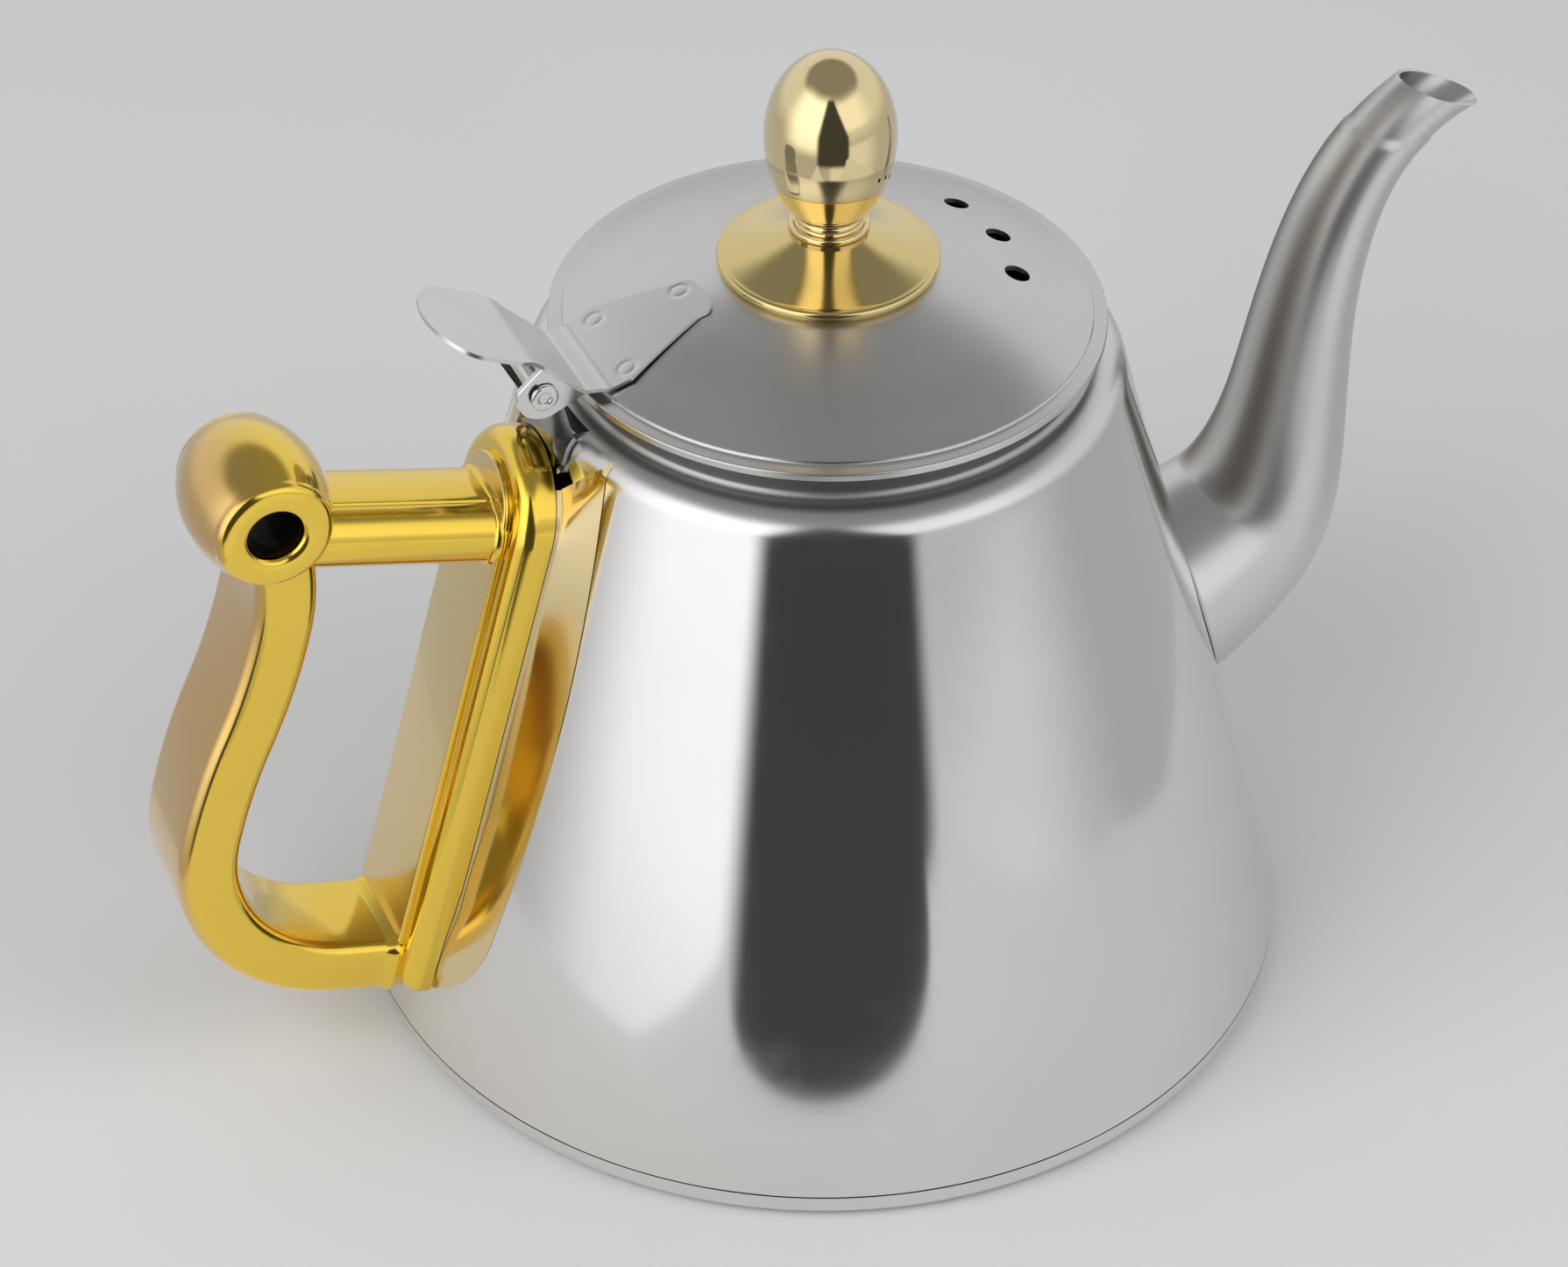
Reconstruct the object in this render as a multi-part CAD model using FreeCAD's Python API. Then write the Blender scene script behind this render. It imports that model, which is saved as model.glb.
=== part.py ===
"""Conical stainless-steel teapot kettle with a gooseneck spout, a plated handle and a hinged lid.

Millimetres, +Z up.  The origin is the centre of the base on the resting plane.  The spout points to +X and
the handle to -X, and the kettle is mirrored about the plane Y = 0.
"""
import FreeCAD, Part
import math
import os
from FreeCAD import Vector

# Sheet metal
sheet = 0.8                    # stainless sheet of the body, base, spout and lid
strip = 0.9                    # stainless strip of the hinge parts

# Body: a truncated cone with a rounded shoulder and a short neck
base_radius = 75.0             # at the seam, the widest place
seam_height = 4.5              # seam between the body and the base pan
base_round = 2.8               # round lower edge of the base pan
cone_angle = 16.5              # half angle of the wall, degrees
shoulder_height = 109.8        # top of the shoulder
shoulder_radius = 5.0
shoulder_ledge = 0.08          # flat ring between the shoulder's round and the neck's fillet
neck_fillet = 1.0
lap_height = 6.0               # upstand of the base pan inside the body
lap_clearance = 0.05
strainer_rise = 1.0            # of the middle hole above the spout's root
strainer_hole_radius = 2.0     # holes in the wall behind the spout
strainer_pitch = 6.0
strainer_rings = 2

# Spout: centre line in the plane Y = 0 as (x, z, outer radius), from the wall at the spout's root
spout_height = 43.0
spout_stations = (
    (-6.6, 0.0, 16.6),
    (2.9, 4.6, 15.2),
    (11.9, 11.9, 13.2),
    (16.7, 24.6, 10.3),
    (18.8, 43.0, 7.9),
    (22.0, 62.5, 6.4),
    (29.0, 77.4, 5.4),
    (39.6, 85.3, 4.8),
    (51.4, 88.6, 4.6),
)
mouth_back = (32.0, 88.2)      # upper lip of the mouth, x and z
mouth_tip = (48.2, 82.1)       # pouring tip of the mouth, x and z

# Handle, in a frame whose upright plane is the back of the post: heights along the post from the seam,
# reaches out from it
handle_steepness = 1.3         # how much steeper than the wall the post stands, degrees
post_sink = 0.3                # of the frame's foot into the wall at the seam
handle_half_width = 9.2
grip_thickness = 9.4
grip_corner = 2.2
grip_reach = 39.7              # farthest place of the grip's centre line
grip_waist_reach = 36.0        # nearest place of the grip's centre line
grip_waist_drop = 18.3         # of the waist under the barrel's middle
grip_bend_radius = 25.9        # bend into the lower arm
lower_arm_height = 12.4
upper_arm_drop = 13.6          # of the upper arm's middle under the top of the post
upper_arm_thickness = 10.6
upper_arm_half_width = 8.4
upper_arm_round = 4.4
barrel_reach = 41.2            # thumb barrel across the top of the grip
barrel_lift = 3.9              # of the barrel's middle over the upper arm's middle
barrel_end_radius = 8.2
barrel_middle_radius = 10.0
barrel_edge = 1.0
barrel_bore_radius = 4.0
barrel_bore_depth = 6.5
barrel_bore_flare = 0.8
post_half_width = 12.2
post_thickness = 4.5
post_round = 2.3               # bead along the post's edges
post_foot = 9.2
post_drop = 4.8                # of the post's top under the shoulder, along the wall
panel_half_width = 8.6
panel_rise = 0.6

# Handle bracket: a waisted channel between the wall and the post
bracket_lip = 0.35             # straight part of the lip behind the post
bracket_waist_half_width = 11.2
bracket_waist_fall = 0.6       # of the waist behind the wall's outermost line
bracket_top_half_width = 16.5
bracket_low_half_width = 20.5
bracket_foot = 7.0
bracket_drop = 0.6             # of the bracket's top under the post's top
bracket_fall = 2.85            # how far the round wall falls away under the edges of the flange
braze_gap = 0.15               # between the bracket's back and the wall
insert_clearance = 0.3
insert_length = 57.0

# Lid
lid_overhang = 2.4             # of the lid's edge beyond the neck
lid_lift = 4.7                 # of the lid's edge over the shoulder
dome_radius = 89.5             # sphere of the lid's top
rim_width = 2.2                # between the dome and the lid's edge
rim_height = 1.8
rim_groove = 0.35
lid_seat_gap = 0.3             # between the lid and the top of the neck
skirt_gap = 1.0                # between the lid's skirt and the inside of the neck
skirt_depth = 7.0              # of the skirt under the lid's edge
vent_radius = 1.9
vent_inset = 11.3              # of the vents from the edge of the dome
vent_step = 21.5               # angle between the vents, degrees

# Hinge and thumb lever
pin_out = 9.2                  # hinge axis from the neck
pin_lift = 8.8                 # hinge axis over the shoulder
pin_radius = 1.4
pin_bore = 0.7
pin_head_radius = 2.1
pin_head = 0.7
pin_fit = 0.05                 # radial running clearance
side_fit = 0.2                 # sideways clearance at the hinge
ear_inner = 7.2                # half the space between the lever's ears
ear_radius = 4.0
ear_end = 300.0                # where the ear's round lower edge ends, degrees
cheek_radius = 2.6             # round top of the hinge bracket's cheeks
cheek_turn = 20.0              # lean of the cheeks' round top, degrees
cheek_root_out = 3.4           # inner edge of the cheeks from the neck
cheek_waist_out = 7.6          # outer edge of the cheeks from the neck where they are narrowest
saddle_drop = 6.4              # of the saddle's lower end under the shoulder
saddle_step = 0.2              # of the saddle's upper end under the shoulder
lever_tip_gap = 2.5            # between the lever's plate and the knob's collar
lever_tip_half_width = 4.2
lever_wide_inset = 4.2         # of the plate's widest place from the edge of the dome
lever_half_width = 9.2
lever_neck_out = 1.8           # of the plate's end beyond the edge of the dome
knee_lift = 2.5                # of the lever's underside over the lid's edge where it leaves the lid
tab_rise_out = 1.8             # upper bend of the lever, from the hinge axis
tab_rise_lift = 6.3
tab_out = 15.3                 # end of the thumb tab, from the hinge axis
tab_lift = 12.2
tab_half_width = 9.5
tab_round = 5.7                # length of the tab's round end

# Knob
collar_radius = 16.5
collar_edge_gap = 0.3          # under the collar's round edge
collar_edge_radius = 1.0
collar_neck_radius = 6.0
collar_rise = 4.65             # of the collar's top over the top of the lid
knob_neck_radius = 4.6
egg_radius = 9.65
egg_rise = 15.6                # of the egg's widest place over the collar
egg_upper = 12.9
egg_lower = 15.4
egg_foot_rise = 2.6
sleeve_radius = 3.0
sleeve_length = 9.0
screw_radius = 2.0
screw_head_radius = 3.8
screw_head = 2.4
screw_head_round = 0.8
slot_length = 4.6              # cross slot of the screw
slot_width = 1.2
slot_depth = 1.2
screw_reach = 7.0              # thread length inside the knob's insert
washer_radius = 6.0
washer = 0.8
screw_clearance = 0.3

slope = math.tan(math.radians(cone_angle))
cos_cone = math.cos(math.radians(cone_angle))
above = 40.0                   # how far cutting shapes reach past the part

# Heights and radii that follow from the sizes above
handle_angle = cone_angle - handle_steepness
wall_length = (shoulder_height - seam_height) / cos_cone
bend_height = shoulder_height - shoulder_radius
bend_reach = base_radius - slope * (bend_height - seam_height) - shoulder_radius / cos_cone
spout_reach = base_radius - slope * (spout_height - seam_height)
neck_radius = bend_reach - shoulder_ledge - neck_fillet
neck_inner = neck_radius - sheet
post_top = wall_length - post_drop
upper_arm_height = post_top - upper_arm_drop
barrel_height = upper_arm_height + barrel_lift
grip_waist_height = barrel_height - grip_waist_drop
bracket_top = post_top - bracket_drop
lid_radius = neck_radius + lid_overhang
lid_edge_height = shoulder_height + lid_lift
dome_edge_radius = lid_radius - rim_width
dome_edge_height = lid_edge_height + rim_height
dome_centre = dome_edge_height - math.sqrt(dome_radius ** 2 - dome_edge_radius ** 2)
vent_circle = dome_edge_radius - vent_inset
pin_reach = neck_radius + pin_out
pin_height = shoulder_height + pin_lift
ear_outer = ear_inner + strip
cheek_outer = ear_inner - side_fit
cheek_root = neck_radius + cheek_root_out
cheek_waist = neck_radius + cheek_waist_out
saddle_low = shoulder_height - saddle_drop
saddle_high = shoulder_height - saddle_step
lever_tip_reach = collar_radius + lever_tip_gap
lever_wide_reach = dome_edge_radius - lever_wide_inset
lever_neck_reach = dome_edge_radius + lever_neck_out
knee_height = lid_edge_height + knee_lift
tab_rise_reach = pin_reach + tab_rise_out
tab_rise_height = pin_height + tab_rise_lift
tab_reach = pin_reach + tab_out
tab_height = pin_height + tab_lift
collar_top = dome_centre + dome_radius + collar_rise
egg_centre = collar_top + egg_rise
egg_foot = collar_top + egg_foot_rise


def save(name, shape):
    """Write one sub-part as its own file."""
    shape.exportStep("parts/" + name + ".step")


def cone_radius(z, inset=0.0):
    """Radius of the wall at height z, a distance inset under the outside."""
    return base_radius - slope * (z - seam_height) - inset / cos_cone


def dome_height(r, inset=0.0):
    """Height of the lid's dome at radius r, a distance inset under the outside."""
    return dome_centre + math.sqrt((dome_radius - inset) ** 2 - r ** 2)


def line(a, b):
    """Edge between two (x, z) points of the plane Y = 0."""
    return Part.LineSegment(Vector(a[0], 0, a[1]), Vector(b[0], 0, b[1])).toShape()


def arc(a, b, c):
    """Arc from a through b to c in the plane Y = 0."""
    return Part.Arc(Vector(a[0], 0, a[1]), Vector(b[0], 0, b[1]), Vector(c[0], 0, c[1])).toShape()


def face(edges):
    """Flat face inside a closed chain of edges."""
    return Part.Face(Part.Wire(edges))


def polygon(points):
    """Flat face inside straight lines through (x, z) points."""
    ends = points[1:] + points[:1]
    return face([line(a, b) for a, b in zip(points, ends)])


def outward(solid):
    """The solid with its faces turned outward."""
    if solid.Volume < 0:
        solid.reverse()
    return solid


def turned(shape):
    """Solid of revolution of a flat face about the kettle's axis."""
    return outward(shape.revolve(Vector(0, 0, 0), Vector(0, 0, 1), 360))


def prism(shape, x=0.0, y=0.0, z=0.0):
    """Flat face carried along a straight way."""
    return outward(shape.extrude(Vector(x, y, z)))


def plate(shape, half_width):
    """Flat face of the plane Y = 0 thickened evenly to both sides."""
    low = shape.copy()
    low.translate(Vector(0, -half_width, 0))
    return prism(low, y=2 * half_width)


def largest(shape):
    """The biggest solid of a shape, without the offcuts."""
    return max([outward(solid) for solid in shape.Solids], key=lambda solid: solid.Volume)


def on_wall(shape):
    """Stand a shape made beside the plane X = 0 on the wall at the handle's side."""
    shape.rotate(Vector(0, 0, 0), Vector(0, 1, 0), cone_angle)
    shape.translate(Vector(-base_radius, 0, seam_height))
    return shape


def on_post(shape):
    """Stand a shape made beside the plane X = 0 on the back of the handle's post."""
    shape.rotate(Vector(0, 0, 0), Vector(0, 1, 0), handle_angle)
    shape.translate(Vector(post_sink - base_radius, 0, seam_height))
    return shape


def polar(centre, radius, degrees):
    """Point on a circle in the plane Y = 0."""
    turn = math.radians(degrees)
    return (centre[0] + radius * math.cos(turn), centre[1] + radius * math.sin(turn))


def shoulder_arc(inset):
    """Round of the shoulder, a distance inset under the outside, and its two ends."""
    bend = shoulder_radius - inset
    middle = (bend_reach, bend_height)
    start = polar(middle, bend, cone_angle)
    top = polar(middle, bend, 90)
    return arc(start, polar(middle, bend, (90 + cone_angle) / 2), top), start, top


def wall_solid(outset):
    """The wall and the shoulder as a full solid without the neck, a distance outset over the outside."""
    bend, start, top = shoulder_arc(-outset)
    foot = (cone_radius(-above, -outset), -above)
    axis = [(0, top[1]), (0, -above)]
    return turned(face([line(axis[1], foot), line(foot, start), bend, line(top, axis[0]), line(*axis)]))


def body_solid(inset, low, high):
    """The body's outline as a full solid, a distance inset under the outside."""
    bend, start, top = shoulder_arc(inset)
    neck = neck_radius - inset
    fillet = neck_fillet + inset
    foot = (neck + fillet, top[1])
    turn = polar((neck + fillet, top[1] + fillet), fillet, 225)
    rise = (neck, top[1] + fillet)
    edge = (cone_radius(low, inset), low)
    return turned(face([line((0, low), edge), line(edge, start), bend, line(top, foot),
                        arc(foot, turn, rise), line(rise, (neck, high)), line((neck, high), (0, high)),
                        line((0, high), (0, low))]))


def body_shell():
    """Cone, shoulder and neck of one sheet, with the strainer holes behind the spout."""
    neck_top = dome_height(neck_radius, sheet) - lid_seat_gap
    shell = body_solid(0, seam_height, neck_top)
    shell = shell.cut(body_solid(sheet, seam_height - above, neck_top + above))
    middle = (spout_reach, spout_height + strainer_rise)
    holes = []
    for ring in range(strainer_rings + 1):
        for step in range(max(1, 6 * ring)):
            turn = 2 * math.pi * step / max(1, 6 * ring)
            across = ring * strainer_pitch * math.cos(turn)
            up = ring * strainer_pitch * math.sin(turn)
            start = Vector(middle[0] - above / 2, across, middle[1] + up)
            holes.append(Part.makeCylinder(strainer_hole_radius, above, start, Vector(1, 0, 0)))
    return shell.cut(Part.makeCompound(holes))


def base_pan():
    """Round-edged pan whose upstand stands inside the foot of the body."""
    gap = sheet + lap_clearance
    top = seam_height + lap_height
    flat, ledge = base_radius - base_round, cone_radius(seam_height, gap)
    inner = cone_radius(seam_height, gap + sheet)
    bend = base_round - sheet
    rim, lap = cone_radius(top, gap), cone_radius(top, gap + sheet)
    edges = [line((0, 0), (flat, 0)),
             arc((flat, 0), polar((flat, base_round), base_round, -45), (base_radius, base_round)),
             line((base_radius, base_round), (base_radius, seam_height)),
             line((base_radius, seam_height), (ledge, seam_height)), line((ledge, seam_height), (rim, top)),
             line((rim, top), (lap, top)), line((lap, top), (inner, seam_height)),
             line((inner, seam_height), (inner, base_round)),
             arc((inner, base_round), polar((inner - bend, base_round), bend, -45), (inner - bend, sheet)),
             line((inner - bend, sheet), (0, sheet)), line((0, sheet), (0, 0))]
    return turned(face(edges))


def spout_tube(inset):
    """Loft through the stations' circles, a distance inset under the outside."""
    curve = Part.BSplineCurve()
    root = Vector(spout_reach, 0, spout_height)
    curve.interpolate([root + Vector(x, 0, z) for x, z, _ in spout_stations])
    rings = []
    for x, z, radius in spout_stations:
        point = root + Vector(x, 0, z)
        along = curve.tangent(curve.parameter(point))[0]
        rings.append(Part.Wire(Part.Circle(point, along, radius - inset).toShape()))
    return Part.makeLoft(rings, True, False)


def spout():
    """Hollow gooseneck, cut to the wall at its root and slantwise at its mouth."""
    tube = spout_tube(0).cut(spout_tube(sheet))
    lean = (mouth_back[1] - mouth_tip[1]) / (mouth_tip[0] - mouth_back[0])
    left, right = mouth_back[0] - above, mouth_tip[0] + above
    left_z = mouth_back[1] + lean * above
    right_z = mouth_tip[1] - lean * above
    high = left_z + above
    past = plate(polygon([(left, left_z), (right, right_z), (right, high), (left, high)]), above)
    past.translate(Vector(spout_reach, 0, spout_height))
    tube = tube.cut(past).cut(body_solid(0, seam_height, shoulder_height + above))
    return largest(tube)


def grip_path():
    """Centre line of the grip: barrel, waist, bulge, bend and lower arm, all tangent arcs and lines."""
    barrel = (-barrel_reach, barrel_height)
    waist = (-grip_waist_reach, grip_waist_height)
    bulge = (-grip_reach, lower_arm_height + grip_bend_radius)
    bend = (bulge[0] + grip_bend_radius, bulge[1])
    foot = (bend[0], lower_arm_height)
    root = (-post_thickness / 2, lower_arm_height)
    out, up = waist[0] - barrel[0], barrel[1] - waist[1]
    top_radius = (out ** 2 + up ** 2) / (2 * out)
    sway, drop = waist[0] - bulge[0], waist[1] - bulge[1]
    sway_radius = (sway ** 2 + drop ** 2) / (4 * sway)
    half_top = math.degrees(math.atan2(up, top_radius - out)) / 2
    half_sway = math.degrees(math.asin(drop / 2 / sway_radius)) / 2
    upper = (waist[0] - sway_radius, waist[1])
    lower = (bulge[0] + sway_radius, bulge[1])
    cross = ((waist[0] + bulge[0]) / 2, (waist[1] + bulge[1]) / 2)
    return Part.Wire([
        arc(barrel, polar((waist[0] - top_radius, waist[1]), top_radius, half_top), waist),
        arc(waist, polar(upper, sway_radius, -half_sway), cross),
        arc(cross, polar(lower, sway_radius, 180 - half_sway), bulge),
        arc(bulge, polar(bend, grip_bend_radius, 225), foot),
        line(foot, root)])


def rounded_bar(start, along, across, half_across, half_width, corner):
    """Wire of a rectangle with round corners, square to the direction along."""
    side = Vector(0, 1, 0)
    flat, tall = half_width - corner, half_across - corner
    edges = []
    signs = ((1, 1), (-1, 1), (-1, -1), (1, -1))
    for index, (u, v) in enumerate(signs):
        centre = start + side * (u * flat) + across * (v * tall)
        ends = [side * u, across * v]
        if index % 2:
            ends.reverse()
        first, last = centre + ends[0] * corner, centre + ends[1] * corner
        middle = centre + (ends[0] + ends[1]) * (corner / math.sqrt(2))
        edges.append(Part.Arc(first, middle, last).toShape())
        nu, nv = signs[(index + 1) % 4]
        new_centre = start + side * (nu * flat) + across * (nv * tall)
        edges.append(Part.LineSegment(last, new_centre + ends[1] * corner).toShape())
    return Part.Wire(edges)


def grip():
    """Grip and lower arm: a round-cornered bar carried along the grip's path."""
    path = grip_path()
    first = path.OrderedEdges[0]
    start = first.valueAt(first.FirstParameter)
    along = first.tangentAt(first.FirstParameter)
    across = along.cross(Vector(0, 1, 0))
    section = rounded_bar(start, along, across, grip_thickness / 2, handle_half_width, grip_corner)
    return path.makePipeShell([section], True, True)


def upper_arm():
    """Upper arm with round sides, from inside the barrel to inside the post."""
    start = Vector(-barrel_reach, 0, upper_arm_height)
    reach = barrel_reach - post_thickness / 2
    section = rounded_bar(start, Vector(1, 0, 0), Vector(0, 0, 1), upper_arm_thickness / 2,
                          upper_arm_half_width, upper_arm_round)
    return prism(Part.Face(section), x=reach)


def barrel():
    """Barrel across the top of the grip, bulged, with a blind flared bore in each end."""
    half = handle_half_width
    flat = barrel_end_radius - barrel_edge
    edge_turn = barrel_edge / math.sqrt(2)
    centre = Vector(-barrel_reach, 0, barrel_height)

    def at(radius, along):
        return centre + Vector(radius, along, 0)

    def straight(a, b):
        return Part.LineSegment(at(*a), at(*b)).toShape()

    def bow(a, b, c):
        return Part.Arc(at(*a), at(*b), at(*c)).toShape()

    shoulder = half - barrel_edge
    floor = half - barrel_bore_depth
    mouth = barrel_bore_radius + barrel_bore_flare
    throat = half - barrel_bore_flare
    edges = [straight((0, -floor), (barrel_bore_radius, -floor)),
             straight((barrel_bore_radius, -floor), (barrel_bore_radius, -throat)),
             straight((barrel_bore_radius, -throat), (mouth, -half)),
             straight((mouth, -half), (flat, -half)),
             bow((flat, -half), (flat + edge_turn, -shoulder - edge_turn), (barrel_end_radius, -shoulder)),
             bow((barrel_end_radius, -shoulder), (barrel_middle_radius, 0), (barrel_end_radius, shoulder)),
             bow((barrel_end_radius, shoulder), (flat + edge_turn, shoulder + edge_turn), (flat, half)),
             straight((flat, half), (mouth, half)),
             straight((mouth, half), (barrel_bore_radius, throat)),
             straight((barrel_bore_radius, throat), (barrel_bore_radius, floor)),
             straight((barrel_bore_radius, floor), (0, floor)),
             straight((0, floor), (0, -floor))]
    return outward(face(edges).revolve(centre, Vector(0, 1, 0), 360))


def barrel_bores():
    """The space of the two blind bores, to be kept free of the grip and the arm."""
    depth = barrel_bore_depth
    bores = []
    for side in (-1, 1):
        start = Vector(-barrel_reach, side * (handle_half_width - depth), barrel_height)
        bores.append(Part.makeCylinder(barrel_bore_radius, depth, start, Vector(0, side, 0)))
    return Part.makeCompound(bores)


def arch(half_width, low, top, x):
    """Flat face square to X: straight sides and a half-round top."""
    spring = top - half_width
    a, b = Vector(x, -half_width, low), Vector(x, half_width, low)
    c, d = Vector(x, half_width, spring), Vector(x, -half_width, spring)
    return face([Part.LineSegment(a, b).toShape(), Part.LineSegment(b, c).toShape(),
                 Part.Arc(c, Vector(x, 0, top), d).toShape(), Part.LineSegment(d, a).toShape()])


def post():
    """Arch-topped post with beaded edges and a raised panel facing the fingers."""
    bar = prism(arch(post_half_width, post_foot, post_top, -post_thickness), x=post_thickness)
    rim = [edge for edge in bar.Edges if edge.BoundBox.XMax < -post_thickness / 2]
    bar = bar.makeFillet(post_round, rim)
    panel_top = post_top - post_half_width + panel_half_width
    panel = arch(panel_half_width, post_foot + post_round, panel_top, -post_thickness - panel_rise)
    return bar.fuse(prism(panel, x=panel_rise + post_round))


def handle():
    """One moulding: barrel, grip, arms and post, hollowed behind to clear the wall."""
    solid = barrel().fuse([grip(), upper_arm(), post()]).cut(barrel_bores())
    solid = on_post(solid.removeSplitter())
    return largest(solid.cut(wall_clearance()))


def channel_outline(x, top_half, low_half, foot, top):
    """Wire square to X: slanting sides, a flat top and a round foot."""
    spring = foot + low_half
    a, b = Vector(x, -top_half, top), Vector(x, top_half, top)
    c, d = Vector(x, low_half, spring), Vector(x, -low_half, spring)
    return Part.Wire([Part.LineSegment(a, b).toShape(), Part.LineSegment(b, c).toShape(),
                      Part.Arc(c, Vector(x, 0, foot), d).toShape(), Part.LineSegment(d, a).toShape()])


def flange_outline(x):
    """Wire of the bracket's wide flange in a plane beside the wall."""
    return channel_outline(x, bracket_top_half_width, bracket_low_half_width, bracket_foot, bracket_top)


def channel_block():
    """Waisted block from the back of the post to the inside of the wall."""
    lip, waist = post_half_width, bracket_waist_half_width
    edge = bracket_fall - sheet
    rim = prism(Part.Face(channel_outline(0, lip, lip, post_foot, bracket_top)), x=bracket_lip)
    skirt = prism(Part.Face(flange_outline(edge)), x=bracket_fall)
    wires = [on_post(channel_outline(bracket_lip, lip, lip, post_foot, bracket_top)),
             on_wall(channel_outline(bracket_waist_fall, waist, waist, post_foot, bracket_top)),
             on_wall(flange_outline(edge))]
    return outward(Part.makeLoft(wires, True, True)).fuse([on_post(rim), on_wall(skirt)])


def pocket(gap, start, foot, top):
    """Space inside the channel, a gap smaller at each side, from a plane behind the post inward."""
    half = bracket_waist_half_width - sheet - gap
    return on_post(prism(Part.Face(channel_outline(start, half, half, foot, top)), x=above))


def fork():
    """Space kept free for the hinge bracket's tail between the post and the wall."""
    half = cheek_outer + insert_clearance
    corner = Vector(-pin_reach - above / 2, -half, saddle_low - insert_clearance)
    return Part.makeBox(above, 2 * half, above, corner)


def handle_bracket():
    """Waisted channel that carries the handle: a back on the wall and two lips, open at the top."""
    wall = wall_solid(braze_gap)
    lips = channel_block().cut(pocket(0, -above / 2, post_foot + sheet, bracket_top + above))
    back = on_wall(prism(Part.Face(flange_outline(-above / 2)), x=above))
    back = back.common(wall_solid(braze_gap + sheet))
    return largest(lips.fuse(back).cut(wall).cut(fork()).removeSplitter())


def wall_clearance():
    """The wall with the bracket's back and a gap added, for the pieces inside the channel to clear."""
    return wall_solid(braze_gap + sheet + insert_clearance)


def handle_insert():
    """Black wedge between the post and the bracket's back, forked at the top around the hinge bracket."""
    solid = pocket(insert_clearance, 0, post_top - insert_length, post_top)
    return largest(solid.cut(wall_clearance()).cut(fork()))


def saddle():
    """Strip of the hinge bracket that lies on the shoulder between the cheeks."""
    skin = body_solid(-strip, seam_height, shoulder_height + above)
    skin = skin.cut(body_solid(0, seam_height, shoulder_height + above))
    window = Part.makeBox(pin_reach - neck_radius, 2 * cheek_outer, saddle_high - saddle_low,
                          Vector(-pin_reach, -cheek_outer, saddle_low))
    return skin.common(window)


def cheek(side):
    """One cheek of the hinge bracket, from the pin down to the shoulder."""
    pin = (-pin_reach, pin_height)
    left = polar(pin, cheek_radius, 180 + cheek_turn)
    right = polar(pin, cheek_radius, cheek_turn)
    root_z = bend_height
    top = polar(pin, cheek_radius, 90 + cheek_turn)
    outline = face([arc(left, top, right), line(right, (-cheek_root, root_z)),
                    line((-cheek_root, root_z), (-cheek_waist, root_z)),
                    line((-cheek_waist, root_z), (-cheek_waist, shoulder_height)),
                    line((-cheek_waist, shoulder_height), left)])
    outline.translate(Vector(0, side * (cheek_outer - strip / 2), 0))
    return plate(outline, strip / 2)


def hinge_bracket():
    """Lower hinge leaf: a saddle on the shoulder with two pierced cheeks."""
    leaf = saddle().fuse([cheek(-1), cheek(1)])
    leaf = leaf.cut(body_solid(0, seam_height, shoulder_height + above))
    hole = Part.makeCylinder(pin_radius, 2 * above, Vector(-pin_reach, -above, pin_height), Vector(0, 1, 0))
    leaf = leaf.cut(hole)
    return largest(leaf)


def hinge_pin():
    """Tubular rivet through the cheeks and the lever's ears."""
    half = ear_outer + side_fit
    start = Vector(-pin_reach, -half - pin_head, pin_height)
    way = Vector(0, 1, 0)
    shank = Part.makeCylinder(pin_radius, 2 * (half + pin_head), start, way)
    heads = []
    for place, outer in ((-half - pin_head, -half - pin_head), (half, half + pin_head)):
        head = Part.makeCylinder(pin_head_radius, pin_head, Vector(-pin_reach, place, pin_height), way)
        flat = [edge for edge in head.Edges if edge.BoundBox.YLength < pin_head / 2]
        rim = [edge for edge in flat if abs(edge.BoundBox.Center.y - outer) < pin_head / 2]
        heads.append(head.makeFillet(pin_head / 2, rim))
    bore = Part.makeCylinder(pin_bore, 2 * (half + pin_head), start, way)
    return shank.fuse(heads).cut(bore)


def lid_profile(inset):
    """Edges of the lid's skin from the axis to the rim, a distance inset under the outside."""
    radius = dome_radius - inset
    edge = (dome_edge_radius, dome_height(dome_edge_radius, inset))
    halfway = (dome_edge_radius / 2, dome_height(dome_edge_radius / 2, inset))
    groove = (dome_edge_radius + rim_groove, edge[1] - rim_groove)
    rim = (lid_radius - inset, lid_edge_height)
    bow = ((groove[0] + rim[0]) / 2 + rim_groove, (groove[1] + rim[1]) / 2 + rim_groove)
    return [arc((0, dome_centre + radius), halfway, edge), line(edge, groove), arc(groove, bow, rim)]


def lid_solid(inset, low):
    """Everything under the lid's skin down to a level, as a full solid."""
    edges = lid_profile(inset)
    return turned(face(edges + [line((lid_radius - inset, lid_edge_height), (lid_radius - inset, low)),
                                line((lid_radius - inset, low), (0, low)),
                                line((0, low), (0, dome_centre + dome_radius - inset))]))


def lid_cover():
    """Domed lid with a grooved rim, three vents towards the spout and the knob's hole."""
    cover = lid_solid(0, lid_edge_height - sheet).cut(lid_solid(sheet, lid_edge_height - above))
    cover = cover.common(Part.makeBox(4 * lid_radius, 4 * lid_radius, above,
                                      Vector(-2 * lid_radius, -2 * lid_radius, lid_edge_height)))
    tools = [Part.makeCylinder(screw_radius + screw_clearance, above, Vector(0, 0, lid_edge_height))]
    for step in (-1, 0, 1):
        turn = math.radians(step * vent_step)
        place = Vector(vent_circle * math.cos(turn), vent_circle * math.sin(turn), lid_edge_height)
        tools.append(Part.makeCylinder(vent_radius, above, place))
    return cover.cut(Part.makeCompound(tools))


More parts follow.
